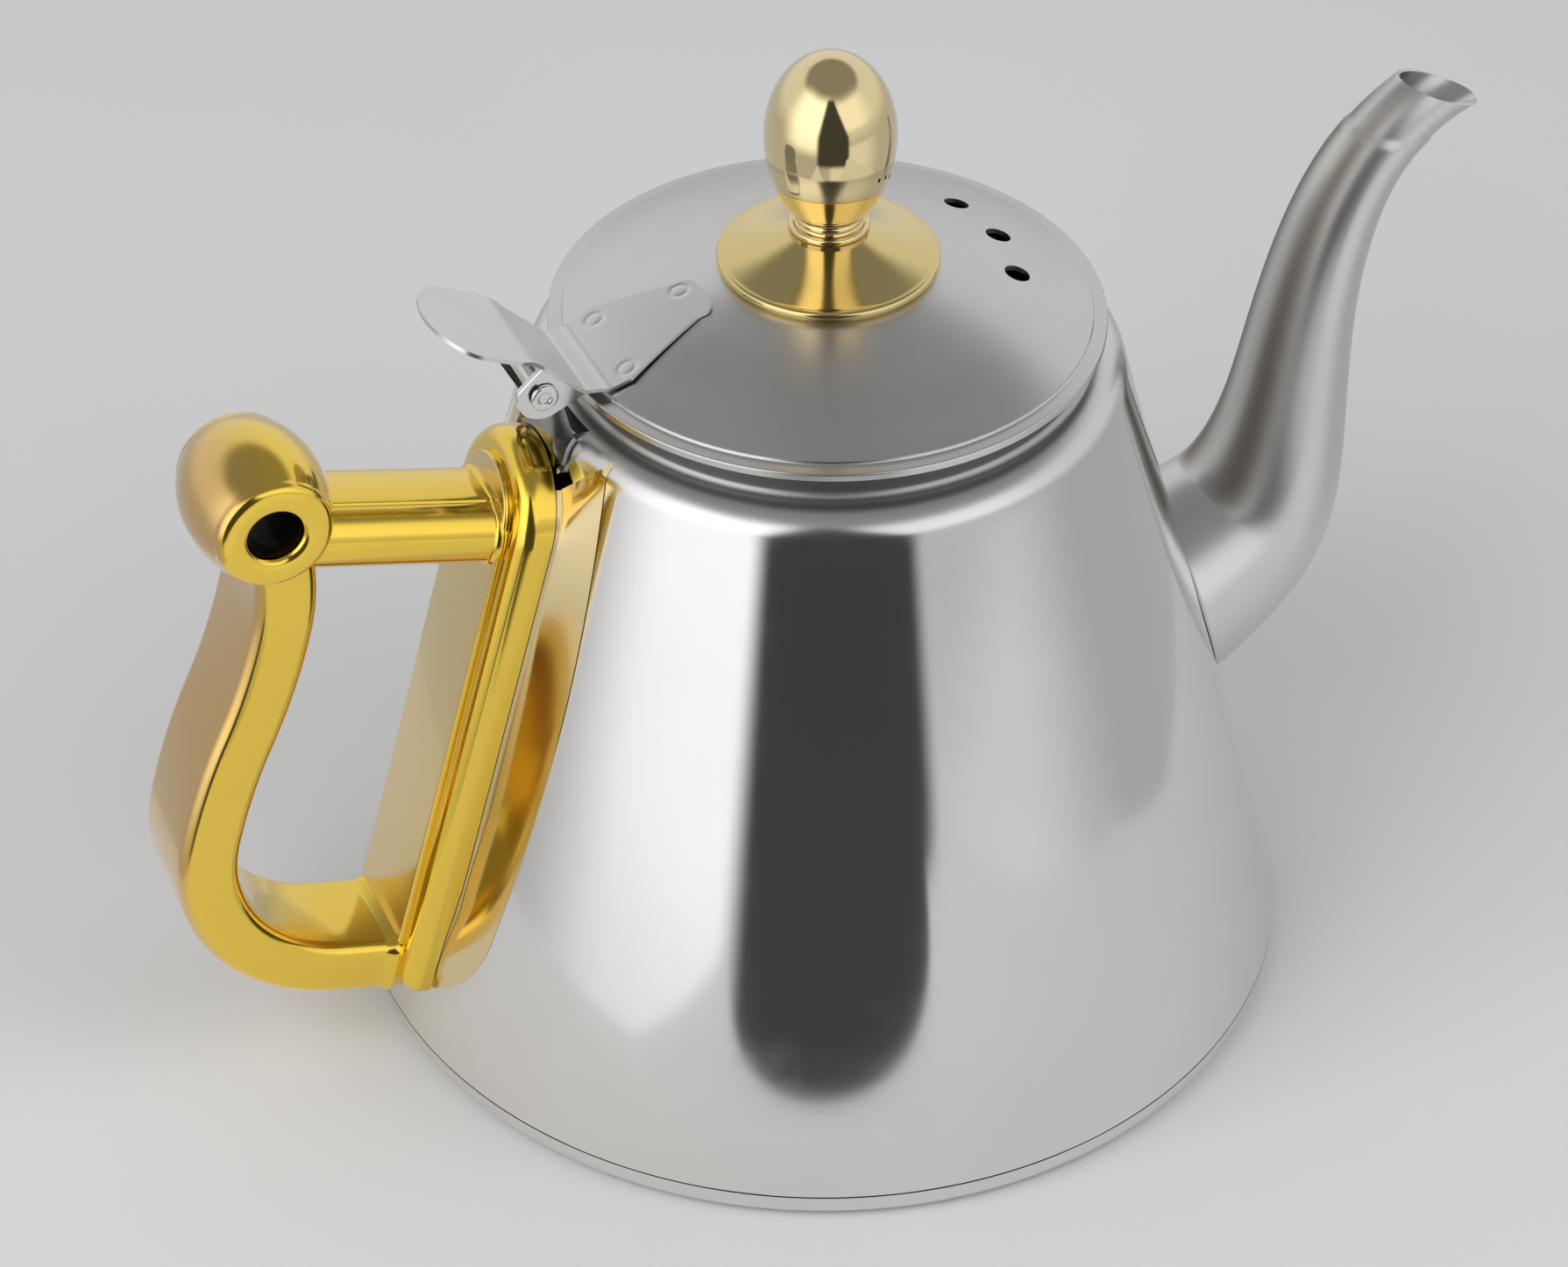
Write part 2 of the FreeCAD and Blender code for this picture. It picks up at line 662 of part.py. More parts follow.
def lid_skirt():
    """Locating ring under the lid, inside the neck."""
    outer = neck_inner - skirt_gap
    low = lid_edge_height - skirt_depth
    tall = dome_height(0) - low
    ring = Part.makeCylinder(outer, tall, Vector(0, 0, low))
    ring = ring.cut(Part.makeCylinder(outer - sheet, tall, Vector(0, 0, low)))
    return ring.common(lid_solid(sheet, low - sheet))


def lever_plan():
    """Plan of the lever's plate on the lid: wide near the hinge, tapering to a round tip."""
    top = dome_height(0) + above / 2
    tip, wide, neck = -lever_tip_reach, -lever_wide_reach, -lever_neck_reach
    narrow = lever_tip_half_width
    points = [(tip - narrow, narrow), (wide, lever_half_width), (neck, ear_outer),
              (neck, -ear_outer), (wide, -lever_half_width), (tip - narrow, -narrow)]
    corners = [Vector(x, y, top) for x, y in points]
    edges = [Part.LineSegment(a, b).toShape() for a, b in zip(corners, corners[1:])]
    edges.append(Part.Arc(corners[-1], Vector(tip, 0, top), corners[0]).toShape())
    return prism(face(edges), z=-above)


def strap():
    """Strip that leaves the lid at the hinge, climbs over the pin and ends in the thumb tab."""
    root = (-dome_edge_radius + 2 * strip, knee_height)
    knee = (-lever_neck_reach - strip, knee_height)
    rise = (-tab_rise_reach, tab_rise_height)
    end = (-tab_reach, tab_height)
    lean = math.atan2(end[1] - rise[1], rise[0] - end[0])
    climb = math.atan2(rise[1] - knee[1], knee[0] - rise[0])

    def above_of(point, first, second):
        """Point over a bend, one strip thickness away from both runs."""
        half = (first + second) / 2
        away = strip / math.cos((second - first) / 2)
        return (point[0] + away * math.sin(half), point[1] + away * math.cos(half))

    outline = [root, knee, rise, end, above_of(end, lean, lean), above_of(rise, climb, lean),
               above_of(knee, 0, climb), (root[0], root[1] + strip)]
    return plate(polygon(outline), tab_half_width)


def tab_plan():
    """Plan that shapes the strap: as wide as the ears over the hinge, then a round-ended thumb tab."""
    top = tab_height + above / 2
    corners = [(-dome_edge_radius + 2 * strip, ear_outer), (-pin_reach, ear_outer),
               (-tab_rise_reach - 2 * strip, tab_half_width), (-tab_reach + tab_round, tab_half_width)]
    near = [Vector(x, -y, top) for x, y in corners]
    far = [Vector(x, y, top) for x, y in reversed(corners)]
    edges = [Part.LineSegment(a, b).toShape() for a, b in zip(near, near[1:])]
    edges.append(Part.Arc(near[-1], Vector(-tab_reach, 0, top), far[0]).toShape())
    edges += [Part.LineSegment(a, b).toShape() for a, b in zip(far, far[1:])]
    edges.append(Part.LineSegment(far[-1], near[0]).toShape())
    return prism(face(edges), z=-2 * above)


def ear(side):
    """Pierced ear bent down beside the hinge bracket."""
    pin = (-pin_reach, pin_height)
    knee = (-lever_neck_reach - strip, knee_height)
    rise = (-tab_rise_reach, tab_rise_height)
    left = polar(pin, ear_radius, 180)
    low = polar(pin, ear_radius, (180 + ear_end) / 2)
    right = polar(pin, ear_radius, ear_end)
    outline = face([arc(left, low, right), line(right, knee), line(knee, rise), line(rise, left)])
    outline.translate(Vector(0, side * (ear_inner + strip / 2), 0))
    return plate(outline, strip / 2)


def lid_lever():
    """Hinge strap: plate on the lid, two ears, and the thumb tab over the handle."""
    skin = turned_skin(strip)
    on_lid = skin.common(lever_plan())
    lever = on_lid.fuse([strap().common(tab_plan()), ear(-1), ear(1)])
    lever = lever.cut(lid_solid(0, lid_edge_height - sheet))
    hole = Part.makeCylinder(pin_radius + pin_fit, 2 * above, Vector(-pin_reach, -above, pin_height),
                             Vector(0, 1, 0))
    lever = lever.cut(hole)
    return largest(lever).removeSplitter()


def turned_skin(thickness):
    """Skin of even thickness that lies on the lid's dome."""
    inner = [arc((0, dome_height(0)), (dome_edge_radius / 2, dome_height(dome_edge_radius / 2)),
                 (dome_edge_radius, dome_height(dome_edge_radius)))]
    outer = [arc((dome_edge_radius, dome_height(dome_edge_radius, -thickness)),
                 (dome_edge_radius / 2, dome_height(dome_edge_radius / 2, -thickness)),
                 (0, dome_height(0, -thickness)))]
    side = [line((dome_edge_radius, dome_height(dome_edge_radius)),
                 (dome_edge_radius, dome_height(dome_edge_radius, -thickness)))]
    axis = [line((0, dome_height(0, -thickness)), (0, dome_height(0)))]
    return turned(face(inner + side + outer + axis))


def knob_collar():
    """Dished collar with a round edge, seated on the lid."""
    seat = dome_height(collar_radius - collar_edge_radius)
    edge = (collar_radius - collar_edge_radius, seat + collar_edge_gap + collar_edge_radius)
    outer = polar(edge, collar_edge_radius, 0)
    upper = polar(edge, collar_edge_radius, 100)
    lower = polar(edge, collar_edge_radius, -90)
    neck = (collar_neck_radius, collar_top - collar_edge_radius)
    dip = ((upper[0] + neck[0]) / 2, (upper[1] + neck[1]) / 2 - collar_edge_radius / 2)
    hole = screw_radius + screw_clearance
    low = lid_edge_height
    edges = [line((hole, low), (lower[0], low)), line((lower[0], low), lower),
             arc(lower, polar(edge, collar_edge_radius, -45), outer),
             arc(outer, polar(edge, collar_edge_radius, 50), upper), arc(upper, dip, neck),
             line(neck, (collar_neck_radius, collar_top)),
             line((collar_neck_radius, collar_top), (hole, collar_top)),
             line((hole, collar_top), (hole, low))]
    return turned(face(edges)).cut(lid_solid(0, low - sheet))


def egg_arc(height, first, last):
    """Part of an ellipse about the egg's middle, from angle first to last down from its top."""
    middle = Vector(0, 0, egg_centre)
    curve = Part.Ellipse(Vector(0, 0, egg_centre + height), Vector(egg_radius, 0, egg_centre), middle)
    return Part.ArcOfEllipse(curve, first, last).toShape()


def knob():
    """Egg-shaped knob on a short ringed neck, bored for its threaded insert."""
    foot_turn = math.pi - math.acos((egg_centre - egg_foot) / egg_lower)
    foot_r = egg_radius * math.sin(foot_turn)
    waist = (knob_neck_radius, (egg_foot + collar_top) / 2)
    roof = collar_top + sleeve_length
    edges = [egg_arc(egg_upper, 0, math.pi / 2), egg_arc(egg_lower, math.pi / 2, foot_turn),
             arc((foot_r, egg_foot), waist, (foot_r, collar_top)),
             line((foot_r, collar_top), (sleeve_radius, collar_top)),
             line((sleeve_radius, collar_top), (sleeve_radius, roof)),
             line((sleeve_radius, roof), (0, roof)), line((0, roof), (0, egg_centre + egg_upper))]
    return turned(face(edges))


def knob_insert():
    """Threaded sleeve in the foot of the knob."""
    sleeve = Part.makeCylinder(sleeve_radius, sleeve_length, Vector(0, 0, collar_top))
    return sleeve.cut(Part.makeCylinder(screw_radius, screw_reach, Vector(0, 0, collar_top)))


def washer_top():
    """Level of the lid's underside where the washer bears."""
    return dome_height(washer_radius, sheet)


def knob_washer():
    """Washer between the screw's head and the lid."""
    low = washer_top() - washer
    ring = Part.makeCylinder(washer_radius, washer, Vector(0, 0, low))
    return ring.cut(Part.makeCylinder(screw_radius + screw_clearance, washer, Vector(0, 0, low)))


def knob_screw():
    """Cross-slotted pan-head screw from under the lid into the knob's insert."""
    seat = washer_top() - washer
    shank = Part.makeCylinder(screw_radius, collar_top + screw_reach - seat, Vector(0, 0, seat))
    head = Part.makeCylinder(screw_head_radius, screw_head, Vector(0, 0, seat - screw_head))
    low_edge = [edge for edge in head.Edges if edge.BoundBox.ZMax < seat - screw_head / 2]
    head = head.makeFillet(screw_head_round, low_edge)
    slots = []
    for long_side, short_side in ((slot_length, slot_width), (slot_width, slot_length)):
        corner = Vector(-long_side / 2, -short_side / 2, seat - screw_head)
        slots.append(Part.makeBox(long_side, short_side, slot_depth, corner))
    return shank.fuse(head.cut(slots[0]).cut(slots[1]))


PIECES = (body_shell, base_pan, spout, handle_bracket, handle, handle_insert, hinge_bracket, hinge_pin,
          lid_cover, lid_skirt, lid_lever, knob_collar, knob, knob_insert, knob_washer, knob_screw)

os.makedirs("parts", exist_ok=True)
for piece in PIECES:
    save(piece.__name__, piece())
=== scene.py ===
"""Smooth metal skins, finishes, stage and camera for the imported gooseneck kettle.

Metres, +Z up, spout towards +X and handle towards -X, mirrored about the plane Y = 0.
"""
import math

import bmesh
import bpy
import numpy as np
from bpy.props import FloatProperty, FloatVectorProperty, PointerProperty
from mathutils import Matrix, Vector


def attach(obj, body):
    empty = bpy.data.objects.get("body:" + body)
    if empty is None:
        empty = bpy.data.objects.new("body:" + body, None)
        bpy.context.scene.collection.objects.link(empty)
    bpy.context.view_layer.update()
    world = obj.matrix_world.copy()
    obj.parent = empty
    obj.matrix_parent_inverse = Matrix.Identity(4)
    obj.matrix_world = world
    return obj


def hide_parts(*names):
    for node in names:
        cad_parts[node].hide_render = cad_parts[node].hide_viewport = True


bl_info = {
    "name": "Gooseneck kettle dressing",
    "version": (1, 0, 0),
    "blender": (4, 5, 0),
    "location": "View3D > Sidebar > Kettle",
    "description": "Smooth metal skins, finishes and a studio stage for the packed kettle",
    "category": "Add Mesh",
}

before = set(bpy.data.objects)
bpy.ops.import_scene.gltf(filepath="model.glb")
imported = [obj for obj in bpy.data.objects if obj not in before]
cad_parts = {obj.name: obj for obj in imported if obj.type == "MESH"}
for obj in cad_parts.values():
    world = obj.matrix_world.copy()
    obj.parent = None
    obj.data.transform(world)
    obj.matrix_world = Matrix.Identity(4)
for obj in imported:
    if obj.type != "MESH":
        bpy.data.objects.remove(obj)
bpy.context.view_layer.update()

MM = 0.001
AROUND = 240                   # columns of a turned piece
SHARP = math.radians(32)       # edges steeper than this stay crisp
WELD = 1e-6                    # points closer than this are one
SENSOR = 36.0                  # width of the camera's sensor in millimetres

# Centre line of the spout from the wall at its root: outward, upward, outer radius, in millimetres
SPOUT_LINE = np.array((
    (-6.6, 0.0, 16.6), (2.9, 4.6, 15.2), (11.9, 11.9, 13.2), (16.7, 24.6, 10.3), (18.8, 43.0, 7.9),
    (22.0, 62.5, 6.4), (29.0, 77.4, 5.4), (39.6, 85.3, 4.8), (51.4, 88.6, 4.6)))
# Two points of the plane that cuts the mouth, measured in the same way
MOUTH = np.array(((31.3, 88.2), (47.5, 82.1)))

# Blotches of the finishes: scale per metre, and the low and high level of the noise
CLOUDS, STAINS = (22.0, 0.35, 0.75), (90.0, 0.6, 0.72)
DRIFT, HAZE = (30.0, 0.3, 0.75), (140.0, 0.45, 0.8)
SPECKS, WEAVE = (900.0, 0.55, 0.7), (6.0, 0.3, 0.7)
LINES = 3000.0                 # turning lines per metre
CLOUD_TINT = 0.94              # steel under a cloud, as a share of its colour
PLATE_TINT = (0.95, 0.92, 0.8)    # plate where it drifts, as shares of its colour
STEEL_ROUGH, PLATE_ROUGH = (0.75, 1.3), (1.0, 1.25)    # span of the roughness, as shares of it
STEEL_BUMP, PLATE_BUMP = (0.012, 0.05 * MM), (0.05, 0.1 * MM)    # strength and depth of the relief
PLASTIC_BUMP = (0.6, 0.3 * MM)

# What stains, painted shade on the steel, satin, the plate's painted shade and panel tint, and painted
# shade in the bores add to the roughness
STAIN_ROUGH, STEEL_SHADE_ROUGH, SATIN_ROUGH, SHADE_AND_PANEL_ROUGH, PLATE_SHADE_ROUGH = 0.03, 0.4, 0.22, 0.1, 0.3

# Weld spots of the lever on the lid: along X and Y from the kettle's axis, in millimetres
WELD_SPOTS = np.array(((-22.5, 2.7), (-34.4, 6.3), (-34.6, -6.7)))


def size(name, millimetres, text):
    """A length property whose default is given in millimetres."""
    return FloatProperty(name=name, description=text, default=millimetres * MM, unit="LENGTH",
                         precision=5)


def degrees(name, value, text):
    """An angle property whose default is given in degrees."""
    return FloatProperty(name=name, description=text, default=math.radians(value), subtype="ANGLE")


def factor(name, value, text):
    """A plain number, such as a brightness."""
    return FloatProperty(name=name, description=text, default=value)


def tint(name, value, text):
    """A colour property."""
    return FloatVectorProperty(name=name, description=text, default=value, subtype="COLOR",
                               min=0.0, max=1.0)


class KettleSizes(bpy.types.PropertyGroup):
    """Sizes of the body, spout, lid, hinge and knob, in the frame of the solids."""
    sheet: size("Sheet", 0.8, "Stainless sheet of the body, base, spout and lid")
    strip: size("Strip", 0.9, "Stainless strip of the lever's ears")
    plate: size("Plate", 0.5, "Thin part of the lever on the lid")
    tab: size("Tab", 0.6, "Lever past the lid, up to the end of its thumb tab")
    weld_radius: size("Weld radius", 1.2, "Ring of a weld spot")
    weld_depth: size("Weld depth", 0.07, "Depth of that ring")
    base_radius: size("Base radius", 75.0, "Outer radius at the seam")
    seam_height: size("Seam height", 4.5, "Seam between the body and the base pan")
    seam_gap: size("Seam gap", 0.22, "Open line between the body's edge and the base pan")
    seam_wave: size("Seam wave", 0.13, "Unevenness of the body's lower edge")
    base_round: size("Base round", 2.8, "Round lower edge of the base pan")
    lap_height: size("Lap height", 6.0, "Upstand of the base pan inside the body")
    lap_clearance: size("Lap clearance", 0.05, "Gap between the upstand and the body")
    cone_angle: degrees("Cone angle", 16.5, "Half angle of the wall")
    shoulder_height: size("Shoulder height", 109.8, "Top of the shoulder")
    shoulder_radius: size("Shoulder round", 5.0, "Round of the shoulder")
    neck_radius: size("Neck radius", 38.995, "Outside of the neck")
    neck_fillet: size("Neck fillet", 1.0, "Fillet between shoulder and neck")
    spout_height: size("Spout height", 43.0, "Height of the spout's root on the wall")
    strainer_rise: size("Strainer rise", 1.0, "Middle of the strainer over the spout's root")
    strainer_hole: size("Strainer hole", 2.0, "Radius of the holes behind the spout")
    strainer_pitch: size("Strainer pitch", 6.0, "Distance between their rings")
    mouth_sheet: size("Mouth edge", 0.55, "Thickness of the spout's lip")
    lid_radius: size("Lid radius", 41.395, "Edge of the lid")
    lid_edge_height: size("Lid edge height", 114.5, "Lowest edge of the lid")
    dome_radius: size("Dome radius", 89.5, "Sphere of the lid's top")
    dome_edge_radius: size("Dome edge", 39.195, "Where the dome meets the rim")
    dome_edge_height: size("Dome edge height", 116.3, "Height of the dome's edge")
    brim_crease: size("Brim crease", 0.45, "Hollow between the dome and its brim")
    brim_fall: size("Brim fall", 0.55, "Depth of that hollow under the dome's edge")
    brim_drop: size("Brim drop", 0.08, "Fall of the brim from the crease to its edge")
    brim_round: size("Brim round", 0.3, "Round of the brim's edge")
    lid_seat_gap: size("Lid gap", 0.3, "Gap between the lid and the neck")
    skirt_radius: size("Skirt radius", 37.195, "Outside of the ring under the lid")
    skirt_depth: size("Skirt depth", 7.0, "Depth of the ring under the lid's edge")
    vent_radius: size("Vent radius", 1.9, "Steam holes of the lid")
    vent_circle: size("Vent circle", 27.9, "Circle of the steam holes")
    vent_step: degrees("Vent step", 21.5, "Angle between the steam holes")
    screw_hole: size("Screw hole", 2.3, "Hole for the knob's screw")
    pin_reach: size("Pin reach", 48.195, "Hinge axis from the kettle's axis")
    pin_height: size("Pin height", 118.6, "Height of the hinge axis")
    pin_radius: size("Pin radius", 1.4, "Shank of the rivet")
    pin_bore: size("Pin bore", 0.85, "Hollow of the rivet's heads")
    pin_dimple: size("Pin dimple", 0.4, "Depth of that hollow")
    pin_head_radius: size("Pin head radius", 2.1, "Rolled head of the rivet")
    pin_head: size("Pin head", 0.7, "Height of the rivet's head")
    pin_half: size("Pin half length", 8.3, "Inner face of the rivet's heads from the middle")
    ear_inner: size("Ear inner", 7.2, "Half the space between the lever's ears")
    ear_radius: size("Ear radius", 4.0, "Round of the ears about the pin")
    ear_top: size("Ear top", 48.2, "Where the ears' outer edge meets the lever")
    lever_tip: size("Lever tip", 19.8, "End of the lever's plate from the axis")
    lever_tip_half: size("Lever tip half width", 4.4, "Half width at the tip")
    lever_tip_round: size("Lever tip round", 2.6, "Length of the tip's blunt end")
    lever_wide: size("Lever wide place", 34.995, "Widest place of the plate from the axis")
    lever_half: size("Lever half width", 9.2, "Half width at the widest place")
    lever_neck: size("Lever neck", 40.995, "End of the plate at the hinge")
    knee_height: size("Knee height", 117.0, "Underside of the lever where it leaves the lid")
    rise_reach: size("Rise reach", 49.995, "Upper bend of the lever")
    rise_height: size("Rise height", 124.9, "Underside at the upper bend")
    tab_reach: size("Tab reach", 62.8, "End of the thumb tab")
    tab_height: size("Tab height", 130.8, "Underside at the end of the tab")
    tab_half: size("Tab half width", 9.5, "Half width of the thumb tab")
    tab_round: size("Tab round", 5.7, "Length of the tab's round end")
    collar_radius: size("Collar radius", 16.5, "Edge of the knob's collar")
    collar_edge: size("Collar edge", 0.7, "Round edge of the collar")
    collar_neck: size("Collar neck", 6.0, "Neck of the collar")
    collar_top: size("Collar top", 130.0, "Top of the collar")
    knob_neck: size("Knob neck", 4.6, "Narrowest place under the egg")
    neck_ring: size("Neck ring", 0.55, "Round of the two rings on the neck")
    egg_radius: size("Egg radius", 9.65, "Widest place of the egg")
    egg_centre: size("Egg centre", 145.6, "Height of the widest place")
    egg_upper: size("Egg upper", 12.9, "Height of the egg over the widest place")
    egg_lower: size("Egg lower", 15.4, "Half axis of the egg's lower part")
    egg_foot: size("Egg foot", 132.6, "Where the egg meets its neck")


class KettleHandleSizes(bpy.types.PropertyGroup):
    """Sizes of the handle, along and out from the back of its post."""
    lean: degrees("Lean", 15.2, "Lean of the post")
    sink: size("Sink", 0.3, "Foot of the handle's frame inside the wall at the seam")
    half_width: size("Half width", 9.2, "Half width of the grip")
    grip_thickness: size("Grip thickness", 9.4, "Thickness of the grip")
    grip_corner: size("Grip corner", 2.2, "Round of the grip's edges")
    grip_reach: size("Grip reach", 39.7, "Farthest place of the grip's middle line")
    waist_reach: size("Waist reach", 36.0, "Nearest place of the grip's middle line")
    waist_height: size("Waist height", 77.02, "Height of that place")
    bend_radius: size("Bend radius", 25.9, "Bend into the lower arm")
    lower_arm: size("Lower arm", 12.4, "Height of the lower arm")
    upper_arm: size("Upper arm", 91.42, "Height of the upper arm")
    arm_thickness: size("Arm thickness", 10.6, "Thickness of the upper arm")
    arm_half: size("Arm half width", 8.4, "Half width of the upper arm")
    arm_round: size("Arm round", 4.4, "Round sides of the upper arm")
    barrel_reach: size("Barrel reach", 41.2, "Thumb barrel from the post")
    barrel_height: size("Barrel height", 95.32, "Height of the thumb barrel")
    barrel_end: size("Barrel end", 8.7, "Radius of the barrel's ends")
    barrel_middle: size("Barrel middle", 10.6, "Radius of the barrel's middle")
    barrel_half: size("Barrel half length", 10.2, "Half length of the barrel")
    barrel_edge: size("Barrel edge", 1.5, "Round of the barrel's ends")
    bore: size("Bore", 4.0, "Radius of the blind bores")
    bore_depth: size("Bore depth", 6.5, "Depth of the blind bores")
    bore_flare: size("Bore flare", 1.1, "Flare of the bores' mouths")
    post_half: size("Post half width", 12.2, "Half width of the post")
    post_thickness: size("Post thickness", 4.5, "Thickness of the post")
    post_round: size("Post bead", 2.9, "Bead along the post's edges")
    post_skirt: size("Post skirt", 1.0, "Depth of the post's edges behind its back")
    side_gap: size("Side gap", 0.25, "Grip's sides inside the barrel's ends")
    ring_round: size("Ring round", 1.0, "Bead round the arms where they meet the post")
    arm_step: size("Arm step", 0.45, "Step beside the upper arm's flat top")
    post_foot: size("Post foot", 9.2, "Lower end of the post")
    post_top: size("Post top", 105.02, "Top of the post")
    panel_half: size("Panel half width", 8.4, "Half width of the raised panel")
    panel_rise: size("Panel rise", 1.0, "Height of the raised panel")
    bracket_top: size("Bracket top", 104.42, "Top of the bracket")
    waist_half: size("Bracket waist", 11.6, "Half width of the bracket's waist")
    flange_top_half: size("Flange top", 15.0, "Half width of the flange at the top")
    flange_low_half: size("Flange low", 20.9, "Half width of the flange at the foot")
    flange_bow: size("Flange bow", 3.0, "Swell of the flange between its top and its foot")
    lip: size("Bracket lip", 0.6, "Straight lip of the bracket beside the post")
    lip_top_half: size("Lip top", 8.8, "Half width of the lip's top, where it follows the post's arch")
    opening: factor("Bracket opening", 0.55, "Flatness of the bracket's flare")
    top_flare: size("Top flare", 42.0, "Stretch in which the bracket opens at its top")
    top_wedge: size("Top wedge", 5.0, "Rise of the bracket's top towards the wall")
    flange_edge: size("Flange edge", 0.14, "Thickness of the flange's edge on the wall")
    insert_inset: size("Insert inset", 1.2, "Black strip inside the post's edge")
    insert_foot: size("Insert foot", 62.0, "Lower end of the black strip")
    insert_depth: size("Insert depth", 0.8, "Thickness of the black strip")
    flange_foot: size("Flange foot", 7.0, "Lowest place of the flange")
    braze_gap: size("Braze gap", 0.15, "Gap between the bracket and the wall")


class KettleTints(bpy.types.PropertyGroup):
    """Colours of the finishes."""
    body: tint("Body steel", (0.74, 0.73, 0.72), "Polished stainless of the body")
    lid: tint("Lid steel", (0.68, 0.67, 0.655), "Brushed stainless of the lid")
    spout: tint("Spout steel", (0.70, 0.69, 0.675), "Satin stainless of the spout")
    hinge: tint("Hinge steel", (0.74, 0.73, 0.72), "Bright stainless strip")
    # Painted shade: dark tint for the neck in the gap under the lid, and for the inside of the barrel's
    # bores
    recess_shade: tint("Grime", (0.045, 0.042, 0.04), "Dark soil at the neck and in the bores")
    gold: tint("Gold plate", (0.93, 0.65, 0.06), "Lemon gold of the handle")
    # Painted shade: browner plate on the grip's outer side and the barrel's far side
    rubbed: tint("Rubbed plate", (0.74, 0.47, 0.16), "Brownish plate where the hand rubs")
    pale: tint("Champagne plate", (0.86, 0.71, 0.40), "Pale gold of the egg")
    collar: tint("Collar plate", (0.76, 0.60, 0.25), "Soft gold of the collar")
    panel: tint("Panel plate", (0.80, 0.60, 0.25), "Soft gold of the post's panel")
    bronze: tint("Bronze plate", (0.75, 0.61, 0.35), "Bronze gold of the bracket")
    # Painted shade: brown for the spout's flanks that face the body
    flank_shade: tint("Tarnish", (0.24, 0.21, 0.18), "Brown film on the spout's inner flanks")
    # Painted shade: the leaf's steel darker than the rest, standing in for its dark reflection
    leaf: tint("Leaf steel", (0.36, 0.35, 0.34), "Dull steel of the lower hinge leaf")
    black: tint("Black plastic", (0.018, 0.018, 0.02), "Rough unplated plastic")
    brass: tint("Brass", (0.72, 0.55, 0.26), "Threaded sleeve of the knob")
    floor: tint("Floor", (0.665, 0.665, 0.67), "Pale floor")
    near_floor: tint("Near floor", (0.71, 0.706, 0.70), "Floor that the polished metal mirrors")


class KettleStudio(bpy.types.PropertyGroup):
    """Camera, and the soft tent round the kettle with its narrow front opening."""
    azimuth: degrees("Azimuth", -24.5, "Camera round the kettle")
    elevation: degrees("Elevation", 39.209, "Camera over the horizon")
    roll: degrees("Roll", 0.549, "Turn of the picture")
    distance: size("Distance", 642.0, "Camera from its target")
    lens: factor("Lens", 93.61, "Focal length in millimetres")
    target: FloatVectorProperty(name="Target", description="Middle of the picture",
                                default=(-0.00544, 0.00248, 0.05317), subtype="TRANSLATION")
    table: size("Table", 172.0, "Radius of the floor that the polished metal mirrors")
    table_front: size("Table front", 160.0, "Front edge of that floor at its middle")
    table_left: size("Table left", 100.0, "Reach of that front edge to the left")
    table_right: size("Table right", 150.0, "Reach of that front edge to the right")
    table_wing: size("Table wing", 203.0, "Reach of that floor to the right of the edge")
    curve_left: factor("Curve left", 10.8, "Curve of the edge's left part, per metre")
    curve_right: factor("Curve right", 7.0, "Curve of the edge's right part, per metre")
    walls: factor("Walls", 0.78, "Brightness of the tent near the horizon")
    roof: factor("Roof", 0.27, "Brightness of the tent overhead")
    below: factor("Below", 0.50, "Brightness under the horizon")
    left_wall: factor("Left wall", 0.80, "Further brightness at the front left")
    right_wall: factor("Right wall", 0.32, "Further brightness at the front right")
    opening: factor("Opening", 0.06, "Brightness of the front opening")
    opening_left: degrees("Opening left", -22.0, "Left edge of the opening from the camera")
    opening_right: degrees("Opening right", 30.5, "Right edge of the opening from the camera")


def circle(count):
    """Even angles round a full turn, without the last."""
    return np.linspace(0, 2 * np.pi, count, endpoint=False)


def rays(turn):
    """Unit vectors: the cosine and sine of each angle."""
    return np.stack([np.cos(turn), np.sin(turn)], -1)


def arc(centre, radius, start, end, count):
    """Circle arc: the centre plus the radius times the rays of evenly spaced angles in degrees."""
    return np.asarray(centre, float) + radius * rays(np.radians(np.linspace(start, end, count)))


def run(a, b, count=2):
    """Straight line: evenly spaced mixtures of the two ends."""
    share = np.linspace(0, 1, count)[:, None]
    return (1 - share) * np.asarray(a, float) + share * np.asarray(b, float)


def bow(a, b, c, count):
    """Arc through three points: the circle on which all three lie, from a past b to c."""
    a, b, c = (np.asarray(p, float) for p in (a, b, c))
    centre = np.linalg.solve(2 * np.array([b - a, c - a]), [b @ b - a @ a, c @ c - a @ a])
    turns = [math.degrees(math.atan2(*(p - centre)[::-1])) for p in (a, b, c)]
    sweep = (turns[2] - turns[0]) % 360
    if (turns[1] - turns[0]) % 360 > sweep:
        sweep -= 360
    return arc(centre, np.linalg.norm(a - centre), turns[0], turns[0] + sweep, count)


def chain(*stretches):
    """One profile out of several stretches, without the repeated joints."""
    points = np.concatenate([np.asarray(s, float).reshape(-1, 2) for s in stretches])
    apart = np.linalg.norm(np.diff(points, axis=0), axis=1) > WELD / 2
    return points[np.r_[True, apart]]


def turned(profile, turn=circle(AROUND)):
    """Surface of revolution: each (radius, height) carried round Z to the angles given."""
    radius, height = profile[:, :1], profile[:, 1:]
    return np.stack([radius * np.cos(turn), radius * np.sin(turn), height + 0 * turn], -1)


def laid(grid, reach, height):
    """A turned grid on its side: its axis along Y, at a reach towards the handle and a height."""
    return np.stack([grid[..., 0] - reach, grid[..., 2], grid[..., 1] + height], -1)


def grid_normals(points, wrap):
    """Unit normals of a grid: the cross product of its central differences along rows and columns."""
    if wrap:
        across = np.roll(points, -1, 1) - np.roll(points, 1, 1)
    else:
        across = np.gradient(points, axis=1)
    normal = np.cross(np.gradient(points, axis=0), across)
    return normal / np.maximum(np.linalg.norm(normal, axis=-1, keepdims=True), 1e-15)


